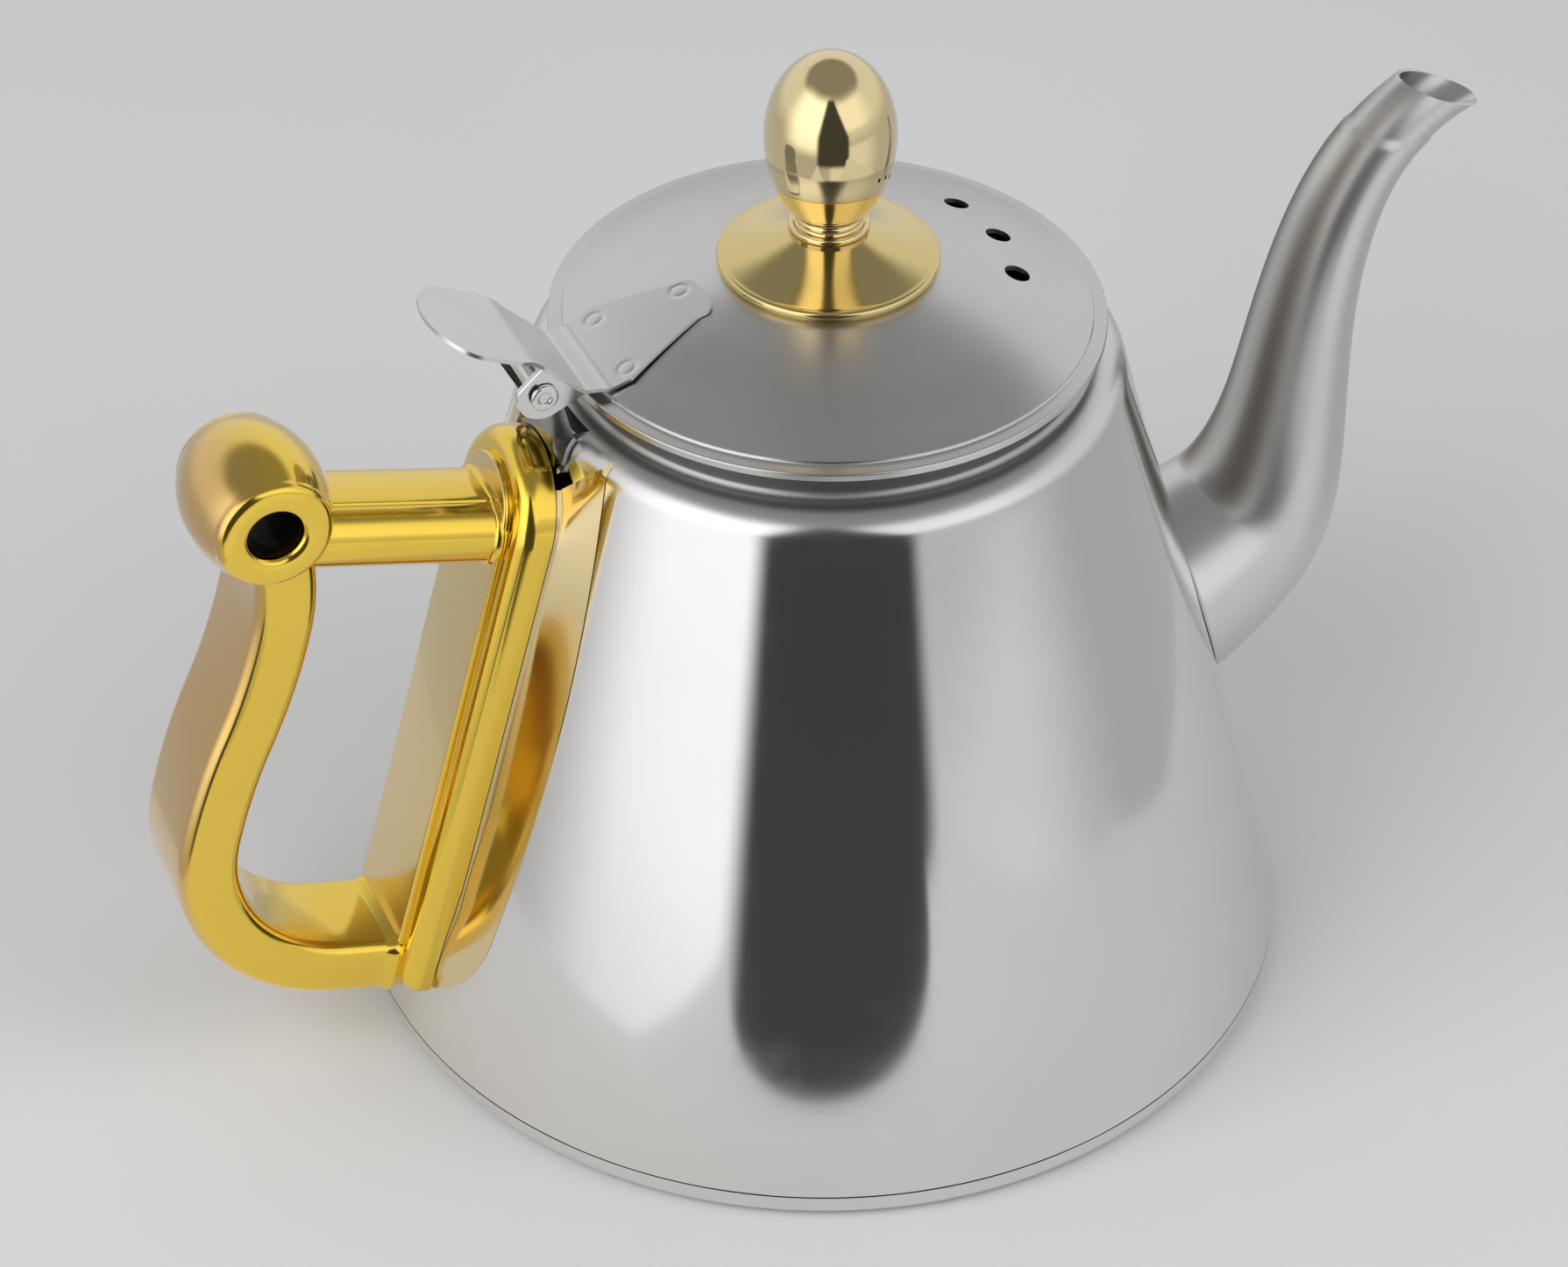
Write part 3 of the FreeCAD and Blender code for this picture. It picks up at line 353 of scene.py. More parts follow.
def thick(points, thickness, wrap):
    """A sheet: the grid, its copy moved by the thickness against the normals, and the four edges."""
    inner = points - grid_normals(points, wrap) * thickness
    parts = [(points, False, wrap), (inner, False, wrap)]
    parts += [(np.stack([points[row], inner[row]]), False, wrap) for row in (0, -1)]
    if not wrap:
        parts += [(np.stack([points[:, col], inner[:, col]]), False, False) for col in (0, -1)]
    return parts


def hole_walls(rims, others):
    """Walls of holes: each rim on one side of a sheet joined to its partner on the other side."""
    return [(np.stack(pair), False, True) for pair in zip(rims, others)]


def grid_faces(rows, cols, wrap_rows, wrap_cols):
    """Quads between neighbouring rows and columns, the last joined to the first where it wraps."""
    row, col = np.meshgrid(np.arange(rows - (not wrap_rows)), np.arange(cols - (not wrap_cols)),
                           indexing="ij")
    below, beside = (row + 1) % rows, (col + 1) % cols
    quads = [row * cols + col, row * cols + beside, below * cols + beside, below * cols + col]
    return np.stack(quads, -1).reshape(-1, 4)


def skin(name, grids, body, material, replaced=(), sharp=SHARP):
    """A piece out of grids (points, wrap rows, wrap columns), welded, faced outward and smooth."""
    points, faces, count = [], [], 0
    for grid, wrap_rows, wrap_cols in grids:
        rows, cols = grid.shape[:2]
        points.append(grid.reshape(-1, 3))
        faces.append(grid_faces(rows, cols, wrap_rows, wrap_cols) + count)
        count += rows * cols
    mesh = bpy.data.meshes.new(name)
    mesh.from_pydata(np.concatenate(points), [], np.concatenate(faces).tolist())
    return dress(name, mesh, body, material, replaced, sharp)


def dress(name, mesh, body, material, replaced=(), sharp=SHARP):
    """Weld a mesh, turn its faces outward, smooth it, and place it on its body with its finish."""
    work = bmesh.new()
    work.from_mesh(mesh)
    bmesh.ops.remove_doubles(work, verts=work.verts, dist=WELD)
    bmesh.ops.dissolve_degenerate(work, edges=work.edges, dist=WELD / 10)
    bmesh.ops.recalc_face_normals(work, faces=work.faces)
    work.to_mesh(mesh)
    work.free()
    mesh.shade_smooth()
    mesh.set_sharp_from_angle(angle=sharp)
    mesh.materials.clear()
    mesh.materials.append(material)
    piece = bpy.data.objects.new(name, mesh)
    bpy.context.scene.collection.objects.link(piece)
    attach(piece, body)
    if replaced:
        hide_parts(*replaced)
    return piece


def mask(piece, name, rule, source="co"):
    """Store a mask on a piece: a rule turns all points, or normals, at once into values from 0 to 1."""
    count = len(piece.data.vertices)
    points = np.empty(count * 3)
    piece.data.vertices.foreach_get(source, points)
    layer = piece.data.attributes.new(name, "FLOAT", "POINT")
    layer.data.foreach_set("value", np.clip(rule(points.reshape(-1, 3)), 0, 1).astype(np.float32))


def ease(value, low, high):
    """Smooth step: 0 below low, 1 above high, a cubic between."""
    share = np.clip((value - low) / (high - low), 0, 1)
    return share * share * (3 - 2 * share)


def node_copy(name, node, body, material):
    """A smooth-shaded copy of a frame node that stands for it."""
    return dress(name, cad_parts[node].data.copy(), body, material, (node,))


def repaint(node, material):
    """Give a frame node that stays as it is another finish."""
    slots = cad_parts[node].data.materials
    slots.clear()
    slots.append(material)


def spline(knots, values, at):
    """Natural cubic through the values: second differences from the usual banded system."""
    step = np.diff(knots)
    count = len(knots)
    system = np.zeros((count, count))
    right = np.zeros((count, values.shape[1]))
    system[0, 0] = system[-1, -1] = 1
    inner = np.arange(1, count - 1)
    system[inner, inner - 1] = step[:-1]
    system[inner, inner] = 2 * (step[:-1] + step[1:])
    system[inner, inner + 1] = step[1:]
    rise = np.diff(values, axis=0) / step[:, None]
    right[1:-1] = 6 * np.diff(rise, axis=0)
    bend = np.linalg.solve(system, right)
    cell = np.clip(np.searchsorted(knots, at) - 1, 0, count - 2)
    width = step[cell][..., None]
    left = (knots[cell + 1] - at)[..., None]
    past = (at - knots[cell])[..., None]
    low, high = bend[cell], bend[cell + 1]
    return ((low * left ** 3 + high * past ** 3) / (6 * width)
            + (values[cell] / width - low * width / 6) * left
            + (values[cell + 1] / width - high * width / 6) * past)


def cone_radius(s, height, inset=0.0):
    """Radius of the wall: the base less the height over the seam times the slope, and less the inset."""
    slope, square = math.tan(s.cone_angle), math.cos(s.cone_angle)
    return s.base_radius - slope * (height - s.seam_height) - inset / square


def wall_radius(s, height):
    """Radius of the outside: the cone, and over its end the shoulder's round."""
    bend = s.shoulder_height - s.shoulder_radius
    rise = np.clip(height - bend, 0, s.shoulder_radius)
    shoulder = cone_radius(s, bend, s.shoulder_radius) + np.sqrt(s.shoulder_radius ** 2 - rise ** 2)
    start = bend + s.shoulder_radius * math.sin(s.cone_angle)
    return np.where(height > start, shoulder, cone_radius(s, height))


def dome_height(s, radius, inset=0.0):
    """Height of the lid's sphere at a radius."""
    centre = s.dome_edge_height - math.sqrt(s.dome_radius ** 2 - s.dome_edge_radius ** 2)
    return centre + np.sqrt((s.dome_radius - inset) ** 2 - radius ** 2)


def wave(turn):
    """An uneven run round a circle: a few sines whose counts share no factor, between -1 and 1."""
    counts = np.array((3, 7, 13, 29, 47))
    shifts = np.array((0.4, 2.1, 4.4, 1.3, 3.0))
    weights = np.array((0.3, 0.2, 0.2, 0.18, 0.12))
    return np.sin(np.outer(turn, counts) + shifts) @ weights


def wall_profile(s, inset):
    """Cone, shoulder and neck, a distance inset under the outside, from the seam upward."""
    bend_height = s.shoulder_height - s.shoulder_radius
    bend = (cone_radius(s, bend_height, s.shoulder_radius), bend_height)
    lean = math.degrees(s.cone_angle)
    neck, fillet = s.neck_radius - inset, s.neck_fillet + inset
    foot = (cone_radius(s, s.seam_height, inset), s.seam_height)
    shoulder = arc(bend, s.shoulder_radius - inset, lean, 90, 20)
    turn = arc((neck + fillet, shoulder[-1, 1] + fillet), fillet, 270, 180, 7)
    top = dome_height(s, s.neck_radius, s.sheet) - s.lid_seat_gap
    return chain(run(foot, shoulder[0], 70), shoulder, turn, run(turn[-1], (neck, top), 8))


def spout_surface(s, along, turn):
    """Point of the spout: the centre line plus the radius round it, across its own direction."""
    root = np.array((cone_radius(s, s.spout_height), s.spout_height))
    line = SPOUT_LINE * MM
    knots = np.r_[0, np.cumsum(np.linalg.norm(np.diff(line[:, :2], axis=0), axis=1))]
    knots /= knots[-1]
    place = spline(knots, line, along)
    nudge = 1e-4
    ahead = spline(knots, line, along + nudge) - spline(knots, line, along - nudge)
    ahead = ahead[..., :2] / np.linalg.norm(ahead[..., :2], axis=-1, keepdims=True)
    centre, radius = place[..., :2] + root, place[..., 2]
    return np.stack([centre[..., 0] - radius * np.cos(turn) * ahead[..., 1], radius * np.sin(turn),
                     centre[..., 1] + radius * np.cos(turn) * ahead[..., 0]], -1)


def crossing(inside, low, high):
    """Where a rising test turns positive between two parameters, by halving, for a whole array."""
    low, high = np.broadcast_arrays(low, high)
    low, high = low.copy(), high.copy()
    for _ in range(40):
        middle = (low + high) / 2
        past = inside(middle) > 0
        high = np.where(past, middle, high)
        low = np.where(past, low, middle)
    return (low + high) / 2


def cell(band, turn, hole_reach, hole_radius):
    """Plan of a polar cell with a round hole: its edge points, drawn in straight lines to the hole."""
    sides = [(band[0] + 0 * turn[:-1], turn[:-1]), (band[:-1], turn[-1] + 0 * band[:-1]),
             (band[-1] + 0 * turn[:-1], turn[:0:-1]), (band[:0:-1], turn[0] + 0 * band[:-1])]
    radius, angle = (np.concatenate(pair) for pair in zip(*sides))
    edge = radius[:, None] * rays(angle)
    hole = hole_reach * rays((turn[0] + turn[-1]) / 2)
    away = edge - hole
    away *= hole_radius / np.linalg.norm(away, axis=1, keepdims=True)
    return edge + (hole + away - edge) * np.linspace(0, 1, 7)[:, None, None]


class KettleBuilder:
    """What the piece operators share: build gets the sizes s, the handle's sizes h and the tints t."""
    bl_options = {"REGISTER", "UNDO"}

    def execute(self, context):
        scene = context.scene
        self.build(scene.kettle_sizes, scene.kettle_handle, scene.kettle_tints)
        return {"FINISHED"}


class KETTLE_OT_body(KettleBuilder, bpy.types.Operator):
    """Body and base pan, turned from their sheet profiles"""
    bl_idname = "kettle.body"
    bl_label = "Body and base"
    window = (14, 38, 12)          # first and last row, and half the columns, round the strainer
    rings = (1, 2)                 # rings round the strainer's middle hole, of 6 and 12 holes
    # Painted shade on the neck, in the gap under the lid: strength, and the heights over the shoulder
    # between which it sets in
    shade_ramp = (0.3, -0.02 * MM, 0.2 * MM)
    gap_shade = (0.8, 0.5 * MM, 1.1 * MM)

    def build(self, s, h, t):
        """Outside and inside of one sheet profile, turned, with a wavy lower edge, and the base."""
        outer, inner = wall_profile(s, 0), wall_profile(s, s.sheet)
        grid = turned(np.concatenate([outer, inner[::-1]]))
        lift = s.seam_gap / 2 + s.seam_wave * (1 + wave(circle(AROUND))) / 2
        grid[0, :, 2] += lift
        grid[-1, :, 2] += lift
        # The dark tint paints shade on the neck in the gap under the lid
        polished = steel("polished_steel", t.body, roughness=0.09, stretch=0.45, lines=(0.0, 1.0),
                         shade_tint=t.recess_shade)
        body = skin("body_skin", self.walls(s, grid), "kettle", polished,
                    ("body_shell",))
        bend = s.shoulder_height - s.shoulder_radius
        mask(body, "painted_shade", lambda p: self.painted_shade(s, p))
        mask(body, "satin", lambda p: ease(p[:, 2], bend, s.shoulder_height))
        self.base(s, steel("base_steel", t.body, roughness=0.2, stretch=0.3, lines=(0.6, 0.6)))

    def base(self, s, dull):
        """Pan's profile: flat bottom, round edge, ledge under the seam, upstand, and back inside."""
        gap = s.sheet + s.lap_clearance
        top = s.seam_height + s.lap_height
        edge = s.seam_height - s.seam_gap / 2
        inner = cone_radius(s, s.seam_height, gap + s.sheet)
        bend = s.base_round - s.sheet
        corner = (s.base_radius - s.base_round, s.base_round)
        profile = chain([(0, 0)], arc(corner, s.base_round, -90, 0, 14),
                        [(s.base_radius, edge), (cone_radius(s, s.seam_height, gap), edge),
                         (cone_radius(s, top, gap), top), (cone_radius(s, top, gap + s.sheet), top),
                         (inner, s.seam_height)],
                        arc((inner - bend, s.base_round), bend, 0, -90, 8), [(0, s.sheet)])
        skin("base_skin", [(turned(profile), False, True)], "kettle", dull, ("base_pan",))

    def walls(self, s, grid):
        """The closed sheet with a window cut through both its sides, and the strainer in the window."""
        low, high, half = self.window
        near = np.arange(-half, half + 1)
        over = grid[high:len(grid) - high, near]
        under = np.concatenate([grid[len(grid) - 1 - low:], grid[:low + 1]])[:, near]
        parts = [(grid[:, half:AROUND - half + 1], True, False), (over, False, False),
                 (under, False, False)]
        rims = []
        for side, inset in ((grid, 0), (grid[::-1], s.sheet)):
            pierced, edges = self.strainer(s, side[low:high + 1, near], inset)
            parts += [(patch, False, True) for patch in pierced]
            rims.append(edges)
        return parts + hole_walls(*rims)

    def strainer(self, s, block, inset):
        """Holes in rings about a middle, laid out in an upright plane and moved along X to the wall."""
        middle = np.array((0, s.spout_height + s.strainer_rise))
        count = 4 * (len(block) - 1)
        way = rays(np.radians(-45) + circle(count))
        edge = np.concatenate([block[:-1, -1], block[-1, :0:-1], block[:0:-1, 0], block[0, :-1]])[:, 1:]
        share = np.linspace(0, 1, 6)[:, None, None]
        step, hole = s.strainer_pitch, s.strainer_hole
        border = (self.rings[-1] + 0.5) * step
        plans = [edge + (middle + border * way - edge) * share,
                 middle + (step / 2 + (hole - step / 2) * share) * way]
        for ring in self.rings:
            band = np.linspace((ring - 0.5) * step, (ring + 0.5) * step, 5)
            spread = np.pi / 6 / ring
            for index in range(6 * ring):
                reach = 2 * index * spread + np.linspace(-spread, spread, count // (6 * ring) + 1)
                plans.append(middle + cell(band, reach, ring * step, hole))
        patches = [np.stack([np.sqrt(cone_radius(s, plan[..., 1], inset) ** 2 - plan[..., 0] ** 2),
                             plan[..., 0], plan[..., 1]], -1) for plan in plans]
        return patches, [patch[-1] for patch in patches[1:]]

    def painted_shade(self, s, points):
        """Painted shade outside the neck: a fainter layer from its fillet upward, and a darker one close
        under the lid.
        """
        rise = points[:, 2] - s.shoulder_height
        outside = np.hypot(points[:, 0], points[:, 1]) > s.neck_radius - s.sheet / 2
        layers = [most * ease(rise, low, high) for most, low, high in (self.shade_ramp, self.gap_shade)]
        return outside * np.maximum(*layers)


class KETTLE_OT_spout(KettleBuilder, bpy.types.Operator):
    """Gooseneck spout: circles carried along a cubic line, cut by the wall and by the mouth's plane"""
    bl_idname = "kettle.spout"
    bl_label = "Spout"
    grid = (120, 96)               # rows along and columns round
    # Shares of the line: where it may meet the wall, where the mouth, and where the thin lip starts
    root_span = (0.0, 0.35)
    mouth_span = (0.7, 1.0)
    lip_start = 0.9
    # Painted shade on the flanks that face the body: most, sideways slope and its spread, slopes towards
    # the body where it sets in
    shade_ramp = (0.85, 0.5, 0.3, 0.25, 0.75)

    def build(self, s, h, t):
        """Rows from the wall to the mouth's plane along the centre line, thickened inward."""
        rows, cols = self.grid
        turn = circle(cols)
        mouth = MOUTH * MM + (cone_radius(s, s.spout_height), s.spout_height)
        way = mouth[1] - mouth[0]
        level = np.array((-way[1], way[0])) / np.linalg.norm(way)

        def past_wall(along):
            """How far the spout's points lie outside the cone."""
            point = spout_surface(s, along, turn)
            return np.hypot(point[:, 0], point[:, 1]) - cone_radius(s, point[:, 2])

        def past_mouth(along):
            """How far the spout's points lie beyond the mouth's plane."""
            point = spout_surface(s, along, turn)
            return (point[:, [0, 2]] - mouth[0]) @ level

        still = 0 * turn
        first = crossing(past_wall, *(end + still for end in self.root_span))
        last = crossing(past_mouth, *(end + still for end in self.mouth_span))
        share = np.linspace(0, 1, rows)[:, None]
        surface = spout_surface(s, first + (last - first) * share, turn)
        sheet = np.where(share > self.lip_start, s.mouth_sheet, s.sheet)[..., None]
        # The brown tint paints shade on the flanks that face the body
        satin = steel("spout_steel", t.spout, roughness=0.31, stretch=0.2, lines=(0.5, 0.2),
                      shade_tint=t.flank_shade)
        spout = skin("spout_skin", thick(surface, -sheet, True), "kettle", satin,
                     ("spout",))
        mask(spout, "painted_shade", self.flank, "normal")

    def flank(self, normals):
        """How far a point lies on the inner flanks, beside the line that faces the body, where shade is
        painted.
        """
        most, slope, spread, low, high = self.shade_ramp
        beside = np.exp(-((np.abs(normals[:, 1]) - slope) / spread) ** 2)
        return most * beside * ease(-normals[:, 0], low, high)


def leaned(s, points, lean, out):
    """Points beside an upright plane, turned about Y by the lean and stood on the seam, some way out."""
    cos, sin = math.cos(lean), math.sin(lean)
    x, y, z = points[..., 0], points[..., 1], points[..., 2]
    return np.stack([x * cos + z * sin - out, y, z * cos - x * sin + s.seam_height], -1)


def on_post(h, s, points):
    """Points beside the post's upright plane, leaned and stood on the wall."""
    return leaned(s, points, h.lean, s.base_radius - h.sink)


def off_post(h, s, points):
    """The way back from on_post: outward and upward places beside the post's upright plane."""
    cos, sin = math.cos(h.lean), math.sin(h.lean)
    x, z = points[:, 0] + s.base_radius - h.sink, points[:, 2] - s.seam_height
    return np.stack([x * cos - z * sin, x * sin + z * cos], 1)


def on_wall(s, points):
    """Points beside the wall's line on the handle's side, leaned with the wall."""
    return leaned(s, points, s.cone_angle, s.base_radius)


def headings(path):
    """Unit vectors along a path, from its central differences."""
    ahead = np.gradient(path, axis=0)
    return ahead / np.linalg.norm(ahead, axis=1, keepdims=True)


def round_bar(half_tall, half_wide, corner, count=7):
    """Closed rectangle with round corners, as (across, upward) offsets."""
    flat, tall = half_wide - corner, half_tall - corner
    corners = ((flat, tall), (-flat, tall), (-flat, -tall), (flat, -tall))
    return chain(*(arc(place, corner, 90 * k, 90 * k + 90, count) for k, place in enumerate(corners)))


def carried(path, section, swell):
    """A section carried along a path of the plane Y = 0, square to it, and swollen along its normals."""
    ahead = headings(path)
    up = np.stack([-ahead[:, 1], ahead[:, 0]], 1)
    along = np.roll(section, -1, 0) - np.roll(section, 1, 0)
    normal = np.stack([along[:, 1], -along[:, 0]], 1) / np.linalg.norm(along, axis=1, keepdims=True)
    ring = section + swell[:, None, None] * normal
    x = path[:, :1] + up[:, :1] * ring[..., 1]
    z = path[:, 1:] + up[:, 1:] * ring[..., 1]
    return np.stack([x, ring[..., 0], z], -1)


def arm_section(h):
    """Flat top with a small step at both sides, round rolls, flat underside, as (across, upward)."""
    tall, flat = h.arm_thickness / 2, h.arm_half - h.arm_round
    turn = np.radians(np.linspace(90, -90, 21))[:, None]
    roll = np.concatenate([flat + h.arm_round * np.cos(turn), (tall - h.arm_step) * np.sin(turn)], 1)
    right = chain([(flat - h.arm_step, tall)], [(flat - h.arm_step / 3, tall - h.arm_step / 4)], roll)
    return chain(right, (right * (-1, 1))[::-1])[::-1]


def beaded(reach, place, radius):
    """Height of a round bead over a line: a half circle about its place."""
    return np.sqrt(np.maximum(radius ** 2 - (reach - place) ** 2, 0))


def grip_path(h):
    """Middle line of the grip: tangent arcs by way of waist, bulge and bend, then a straight run."""
    barrel = np.array((-h.barrel_reach, h.barrel_height))
    waist = np.array((-h.waist_reach, h.waist_height))
    bulge = np.array((-h.grip_reach, h.lower_arm + h.bend_radius))
    out, up = waist[0] - barrel[0], barrel[1] - waist[1]
    top = (out ** 2 + up ** 2) / (2 * out)
    sway, drop = waist[0] - bulge[0], waist[1] - bulge[1]
    bend = (sway ** 2 + drop ** 2) / (4 * sway)
    half = math.degrees(math.asin(drop / 2 / bend))
    return chain(arc((waist[0] - top, waist[1]), top, math.degrees(math.atan2(up, top - out)), 0, 24),
                 arc((waist[0] - bend, waist[1]), bend, 0, -half, 24),
                 arc((bulge[0] + bend, bulge[1]), bend, 180 - half, 180, 24),
                 arc((bulge[0] + h.bend_radius, bulge[1]), h.bend_radius, 180, 270, 40),
                 run((bulge[0] + h.bend_radius, h.lower_arm), (-h.post_thickness / 2, h.lower_arm), 16))


def capped(grid):
    """A closed bar: the carried rings and their two ends drawn to their middles."""
    middles = [ring.mean(0) + 0 * ring for ring in (grid[0], grid[-1])]
    return [(np.concatenate([middles[:1], grid, middles[1:]]), False, True)]


class KETTLE_OT_handle(KettleBuilder, bpy.types.Operator):
    """Handle moulding: grip, thumb barrel, upper arm and post with its raised panel"""
    bl_idname = "kettle.handle"
    bl_label = "Handle"
    bead_rise = 0.6                # height of the beads round the arms, as a share of a half circle
    shade_reach = (-30 * MM, -36 * MM)    # out from the post, where painted shade on the grip's outer side sets in
    outer = (0.3, 0.5)             # out from the grip's middle line, in thicknesses, where it sets in
    panel_edge = (0.2 * MM, 0.05 * MM)    # under the panel's face, where its own colour sets in
    bore_shade = (0.6, 2.0)         # depth in the bores, in flares, where painted shade sets in
    thumb = (-0.4, 1.0)            # out from the barrel's axis, in radii of its ends, where painted shade sets in on the far side
    bore_bound, rubbed_bound = 1.05, 0.95    # spread of painted shade in bore radii, and on the far side in end radii

    def build(self, s, h, t):
        """Bars carried along the lines of the grip and the arm, each with a bead, then the rest."""
        # Painted shade: a browner tint on the handle's outer sides, and a dark one in the bores
        gold = plate_finish("gold_plate", t.gold, roughness=0.13, dull=t.rubbed, painted_shade=t.recess_shade)
        barrel = np.array((-h.barrel_reach, h.barrel_height))
        clear = h.bore + h.bore_flare
        front, ring = -h.post_thickness, h.ring_round
        path = grip_path(h)
        path = path[np.linalg.norm(path - barrel, axis=1) > clear]
        bead = self.bead_rise * beaded(path[:, 0], front - ring, ring) * (path[:, 1] < h.waist_height)
        section = round_bar(h.grip_thickness / 2, h.half_width - h.side_gap, h.grip_corner)
        bar = capped(on_post(h, s, carried(path, section, bead)))
        grip = skin("grip_skin", bar, "kettle", gold, ("handle",))
        mask(grip, "rubbed", lambda p: self.rubbed(h, s, p))
        reach = np.r_[np.linspace(clear - h.barrel_reach, front - 3 * ring, 12),
                      np.linspace(front - 2.9 * ring, front / 2, 40)]
        path = np.stack([reach, 0 * reach + h.upper_arm], 1)
        bead = self.bead_rise * beaded(reach, front - 0.8 * ring, ring)
        bar = capped(on_post(h, s, carried(path, arm_section(h), bead)))
        skin("arm_skin", bar, "kettle", gold)
        self.barrel(s, h, gold)
        self.post(s, h, t)

    def rubbed(self, h, s, points):
        """How far a point of the grip lies on its outer side, where shade is painted."""
        place = off_post(h, s, points)
        path = grip_path(h)
        ahead = headings(path)
        near = np.argmin(np.linalg.norm(place[:, None] - path, axis=-1), axis=1)
        off = place - path[near]
        outward = off[:, 0] * ahead[near, 1] - off[:, 1] * ahead[near, 0]
        return ease(outward / h.grip_thickness, *self.outer) * ease(place[:, 0], *self.shade_reach)

    def barrel(self, s, h, gold):
        """Half the profile from a bore's floor to the middle, mirrored and turned about its own axis."""
        half, flat = h.barrel_half, h.barrel_end - h.barrel_edge
        shoulder = half - h.barrel_edge
        bulge = bow((h.barrel_end, shoulder), (h.barrel_middle, 0), (h.barrel_end, -shoulder), 41)
        mouth = arc((h.bore + h.bore_flare, half - h.bore_flare), h.bore_flare, 180, 90, 8)
        side = chain([(0, half - h.bore_depth)], run((h.bore, half - h.bore_depth), mouth[0], 8), mouth,
                     arc((flat, shoulder), h.barrel_edge, 90, 0, 10))
        profile = chain(side, bulge, (side * (1, -1))[::-1])
        grid = laid(turned(profile, circle(120)), h.barrel_reach, h.barrel_height)
        barrel = skin("barrel_skin", [(on_post(h, s, grid), False, True)], "kettle", gold)
        axis = on_post(h, s, np.array((-h.barrel_reach, 0, h.barrel_height)))

        def spread(p):
            """Distance from the barrel's axis."""
            return np.hypot(p[:, 0] - axis[0], p[:, 2] - axis[2])

        def bored(p):
            """Painted shade inside the bores, more the deeper."""
            depth = (half - np.abs(p[:, 1])) / h.bore_flare
            return ease(depth, *self.bore_shade) * (spread(p) < h.bore * self.bore_bound)

        def far_shaded(p):
            """Painted shade round the outside, more the farther from the kettle."""
            out = (axis[0] - p[:, 0]) / h.barrel_end
            return ease(out, *self.thumb) * (spread(p) > h.barrel_end * self.rubbed_bound)

        mask(barrel, "painted_shade", bored)
        mask(barrel, "rubbed", far_shaded)

    def post(self, s, h, t):
        """Arch outline drawn in towards its middle line by the insets of a bead and panel profile."""
        half, spring = h.post_half, h.post_top - h.post_half
        corner = 1.5 * MM
        side = chain(run((0, h.post_foot), (half - corner, h.post_foot), 8),
                     arc((half - corner, h.post_foot + corner), corner, -90, 0, 6),
                     run((half, h.post_foot + corner), (half, spring), 60))
        outline = chain(side, arc((0, spring), half, 0, 180, 48), (side * (-1, 1))[::-1])[:-1]
        middle = np.stack([0 * outline[:, 0], np.clip(outline[:, 1], h.post_foot + half, spring)], 1)
        bead = arc((h.post_round, h.post_thickness - h.post_round), h.post_round, 180, 72, 16)
        step = half - h.panel_half
        high = h.post_thickness + h.panel_rise
        edge = 0.35 * MM
        inside = 1.0 * MM
        rise = arc((step + edge, high - edge), edge, 180, 90, 6)
        profile = chain([(half, 0), (inside, 0), (inside, -h.post_skirt), (0, -h.post_skirt)], bead,
                        [(step, bead[-1, 1])], rise, [(half, high)])
        share = 1 - profile[:, :1, None] / half
        flat = middle + (outline - middle) * share
        depth = profile[:, 1:, None] + 0 * flat[..., :1]
        depth = np.where(depth < 0, depth * skirted(h, flat[..., 1:]), depth)
        grid = np.concatenate([-depth, flat], -1)
        piece = skin("post_skin", [(on_post(h, s, grid), False, True)], "kettle",
                     plate_finish("post_gold", t.gold, roughness=0.13, dull=t.panel))
        low, full = (high - under for under in self.panel_edge)
        # The panel's own colour, laid on through the mask that carries painted shade on the grip
        mask(piece, "rubbed", lambda p: ease(-off_post(h, s, p)[:, 0], low, full))
        self.insert(s, h, outline, middle, t)

    def insert(self, s, h, outline, middle, t):
        """Black strip behind the post: the arch drawn in by the inset, from a foot of its own upward."""
        share = 1 - h.insert_inset / h.post_half
        edge = middle + (outline - middle) * share
        edge[:, 1] = np.maximum(edge[:, 1], h.insert_foot)
        centre = np.array((0, (h.insert_foot + h.post_top) / 2)) + 0 * edge
        near, far = h.braze_gap, h.braze_gap + h.insert_depth
        rings = ((centre, near), (edge, near), (edge, far), (centre, far))
        grid = np.stack([np.concatenate([0 * ring[:, :1] + depth, ring], 1) for ring, depth in rings])
        skin("insert_skin", [(on_post(h, s, grid), False, True)], "kettle",
             rough_plastic("black_plastic", t.black), ("handle_insert",))


def skirted(h, height):
    """How far the post's edges reach back: not at the foot, fully higher up."""
    start, full = 4 * MM, 24 * MM
    return ease(height, h.post_foot + start, h.post_foot + full)


